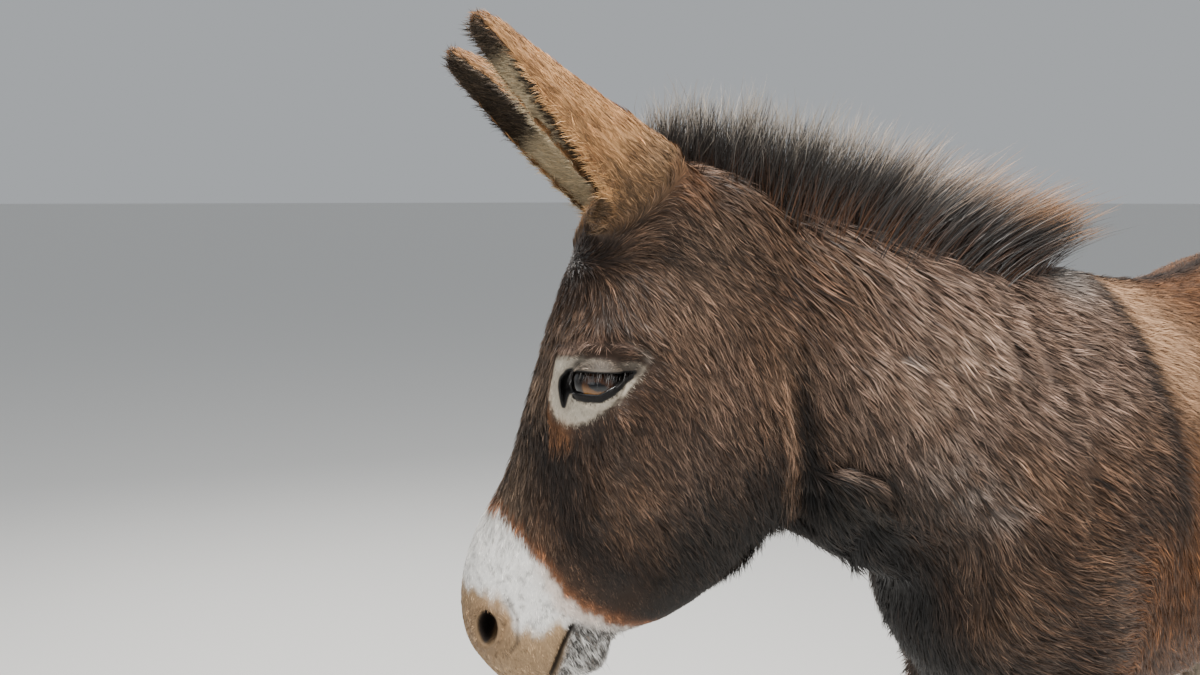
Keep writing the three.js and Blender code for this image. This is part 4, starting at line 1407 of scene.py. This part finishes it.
def wisps_of_mane(count, each, reach, spread, seed):
    """Hairs of the mane in wisps: their roots, ways, lengths, droops, how far to the rear
    each stands, its place and its share of the thickness."""
    chance = np.random.default_rng(seed)
    place = 0.13 + 0.86 * (np.arange(count) + chance.random(count)) / count
    lateral = np.clip(chance.normal(size=count) * 0.5, -1.15, 1.15)
    rear = rise(-place, -0.78, -0.32)
    waving = waves(np.c_[place * 3, lateral * 0.05, np.zeros(count)], 0.10, seed)
    sweep = -0.04 - 0.85 * rear + 0.16 * waving + 0.15 * chance.normal(size=count)
    splay = 0.20 * lateral + 0.09 * chance.normal(size=count) - 0.05 * rear
    long = chance.uniform(*reach, count) * (1 + 0.06 * waving)
    wisp = np.repeat(np.arange(count), each)
    place, lateral, rear = place[wisp], lateral[wisp], rear[wisp]
    total = count * each
    place = place + 0.0060 * chance.normal(size=total)
    lateral = lateral + 0.16 * chance.normal(size=total)
    top, tall, thick = read_off(MANE, place)
    spots, course = crest(place)
    aside = np.c_[-course[:, 1], course[:, 0]]
    roots = np.c_[spots + aside * (lateral * thick)[:, None],
                  top - tall - 0.010 - 0.018 * lateral ** 2]
    own = spread * chance.normal(size=(2, total))
    lean = course * (sweep[wisp] + own[0])[:, None] + aside * (splay[wisp] + own[1])[:, None]
    ways = unit(np.c_[lean, np.ones(total)])
    lengths = (tall * (1 + 0.28 * rear) + 0.014 + 0.018 * lateral ** 2) * long[wisp]
    lengths = lengths * chance.uniform(0.85, 1.0, total)
    droop = np.c_[course * (-0.06 - 0.42 * rear)[:, None] + aside * (0.12 * lateral)[:, None],
                  -0.03 - 0.14 * rear]
    return roots, ways, lengths, droop, rear, place, lateral


def mane_piece(name, hairs, frizz, half, colours, chance):
    """Hairs of the mane as one piece."""
    roots, ways, lengths, droop, _, place, lateral = hairs
    spines = swept(roots, ways, lengths, droop, 7, frizz, chance)
    thick = half * chance.uniform(0.7, 1.3, len(roots))
    pattern = np.c_[0.02 + 0.96 * place, 0.5 + 0.4 * lateral / 1.5]
    made = blades(name, spines, widths(spines, thick, chance), colours, pattern)
    made.data.materials.append(hair_paint)
    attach(made, "root")
    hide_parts("mane")


chance = np.random.default_rng(41)
share = np.linspace(0, 1, 7)[None, :, None]
hairs = wisps_of_mane(WISPS, 5, (0.50, 0.98), 0.05, 42)
rear = hairs[4]
total = len(rear)
charcoal = blend(dye("34312f"), 0.6 * chance.random(total), dye("171514"))
foot = blend(charcoal, chance.random(total), dye("6a4832"))
colours = foot[:, None] + (charcoal - foot)[:, None] * np.clip((share - 0.25) * 2.4, 0, 1)
colours = colours * (1 + 0.5 * share * chance.random((total, 1, 1)))
mane_piece("mane_core", hairs, 0.0012 + 0.0010 * (1 - rear), 0.00042, colours, chance)

hairs = wisps_of_mane(WISPS // 3, 7, (0.86, 1.16), 0.08, 43)
rear = hairs[4]
total = len(rear)
charcoal = blend(dye("37322f"), 0.6 * chance.random(total), dye("1c1918"))
tips = blend(dye("b5aa9c"), rear, dye("a97c56"))
colours = charcoal[:, None] + (tips - charcoal)[:, None] * np.clip((share - 0.58) / 0.34, 0, 1)
mane_piece("mane_tips", hairs, 0.0020 + 0.0060 * (1 - rear), 0.00040, colours, chance)


# ---------------------------------------------------------------------------------
# The hair in the ears: pale, soft and longer than the coat. It grows on the lining and
# runs towards the mouth of the ear and its tip.


def in_ears(points):
    """1 in the ears, for points of the frame."""
    return in_ear(on_head(points))


EAR_HAIRS = 16000
roots, normals, on_pattern = scattered(hide_mesh, in_ears, EAR_HAIRS, 51)
head = on_head(roots)
along, outer, deep, lining = on_ear(head, normals)
keep = (lining > 0.45) & (along < 0.97) & (along > 0.12)
roots, normals, on_pattern, head, along, outer, deep, lining = (
    values[keep] for values in (roots, normals, on_pattern, head, along, outer, deep, lining))
chance = np.random.default_rng(52)
count = len(roots)
ways = np.empty((count, 3))
for side in EARS:
    mine = head[:, 1] * side > 0
    _, _, up, opening, across = ear_frame(side, head[mine])
    aside = np.sign((across * (head[mine] - EARS[side][0])).sum(1))[:, None]
    ways[mine] = (0.70 * up + 0.60 * opening + 0.25 * aside * across) @ head_axes
ways = unit(ways + 0.30 * normals + 0.16 * chance.normal(size=ways.shape))
edge = 1 - np.abs(2 * lining - 1)
lengths = chance.uniform(0.008, 0.017, count) * (1 - 0.35 * along) * (1 - 0.3 * edge)
droop = np.tile([0, 0, -0.10], (count, 1))
spines = swept(roots, ways, lengths, droop, 4, np.full(count, 0.0010), chance)
tone = ear_lining(along, outer, deep, head[:, 1], 0.9 * (1 - edge))
# hair on the rims takes the rim's tan, painted bright as backlight
tone = blend(tone, edge * 0.8, EAR_RIM_AND_BACKLIGHT) * chance.uniform(0.7, 1.2, (count, 1))
colours = np.stack([tone * 0.6, tone, tone * 1.1, tone * 1.2], 1)
lining_hair = blades("ear_hair", spines, widths(spines, 0.00030, chance), colours, on_pattern)
lining_hair.data.materials.append(hair_paint)
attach(lining_hair, "root")


# ---------------------------------------------------------------------------------
# The tail's brush: long dark hair that grows from the lower half of the dock and hangs
# to the hocks.

BRUSH_HAIRS = 4200
BRUSH = np.array([  # share of the way down, half across, how far forward with the dock
    (-0.62, 0.0195, 0.033), (-0.42, 0.0180, 0.013), (-0.20, 0.0165, 0.003), (0.0, 0.0175, 0),
    (0.2, 0.022, 0), (0.45, 0.029, 0), (0.7, 0.026, 0), (0.9, 0.015, 0), (1.0, 0.006, 0)])
chance = np.random.default_rng(61)
low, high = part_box("tail_brush")
spots = 8
from_dock = BRUSH[0, 0]
reach = chance.uniform(0.72, 1.0, BRUSH_HAIRS)[:, None]
start = from_dock * (1 - np.sqrt(chance.random(BRUSH_HAIRS)))[:, None]
share = start + (reach - start) * np.linspace(0, 1, spots)
radius = np.sqrt(chance.random(BRUSH_HAIRS))[:, None]
turn = chance.uniform(0, 2 * math.pi, BRUSH_HAIRS)[:, None]
turn = turn + 0.25 * share * chance.normal(size=(BRUSH_HAIRS, 1))
half, forward = read_off(BRUSH, share)
half = half * radius
centre = np.array([(low.x + high.x) / 2, (low.y + high.y) / 2])
level = high.z + (low.z - high.z) * share
bow = 0.006 * np.sin(math.pi * np.clip(share, 0, 1)) - 0.004 + forward
spines = np.stack([centre[0] + bow + 0.85 * half * np.cos(turn),
                   centre[1] + half * np.sin(turn), level], -1)
wave = chance.uniform(0, 6.3, (BRUSH_HAIRS, 1, 2))
spines[..., :2] += 0.0022 * np.sin(9 * share[..., None] + wave) * np.clip(share, 0, 1)[..., None]
tone = blend(dye("2b2522"), 0.7 * chance.random(BRUSH_HAIRS), dye("4b3a30"))
colours = tone[:, None] * np.linspace(0.8, 1.3, spots)[:, None]
first = turn[:, :1]
brush_pattern = 0.5 + 0.4 * radius * np.c_[np.cos(first), np.sin(first)]
brush = blades("tail_brush_hair", spines, widths(spines, 0.00075, chance), colours, brush_pattern)
brush.data.materials.append(hair_paint)
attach(brush, "root")
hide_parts("tail_brush")


# ---------------------------------------------------------------------------------
# Hooves: upright, narrow boxes of dark horn with rings of growth, worn flat underneath.
# Each grows down from the skin at the foot of its pastern, and the donkey stands on them.

RING = 0.0062  # from one ring of growth to the next
horn_paint, tree, shader = material("horn_paint", 0.48, 0.4)
place = node(tree, "TexCoord").outputs["Object"]
drawn_out = node(tree, "Mapping", {"Vector": place, "Scale": (260, 260, 14)}).outputs["Vector"]
streaks = node(tree, "TexNoise", {"Vector": drawn_out, "Scale": 1.0, "Detail": 5.0})
tone = node(tree, "ValToRGB", {"Fac": streaks.outputs["Fac"]})
tone.color_ramp.elements[0].color = (*dye("2a2420"), 1)
tone.color_ramp.elements[1].color = (*dye("6b5c4c"), 1)
tree.links.new(tone.outputs["Color"], shader.inputs["Base Color"])
grooves = {"Height": streaks.outputs["Fac"], "Strength": 0.4, "Distance": 0.0008}
tree.links.new(node(tree, "Bump", grooves).outputs["Normal"], shader.inputs["Normal"])

for name in sorted(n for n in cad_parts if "hoof" in n):
    mesh = remeshed(name, *joined([name]), 0.003)
    points, edges = read(mesh)
    points = eased(points, edges, np.ones(len(points)), 12)
    points = points - normals_of(mesh) * SWELL
    rings = np.sin(2 * math.pi * points[:, 2] / RING) * rise(points[:, 2], 0.004, 0.012)
    outward = normals_of(mesh) * (1, 1, 0)
    points = points + outward * (0.00035 * rings)[:, None]
    points[:, 2] = np.maximum(points[:, 2], 0.0)
    put(mesh, points)
    hoof = bpy.data.objects.new(name.replace("_hoof", "_horn"), mesh)
    bpy.context.scene.collection.objects.link(hoof)
    smooth(mesh)
    mesh.materials.append(horn_paint)
    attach(hoof, "root")
    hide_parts(name)
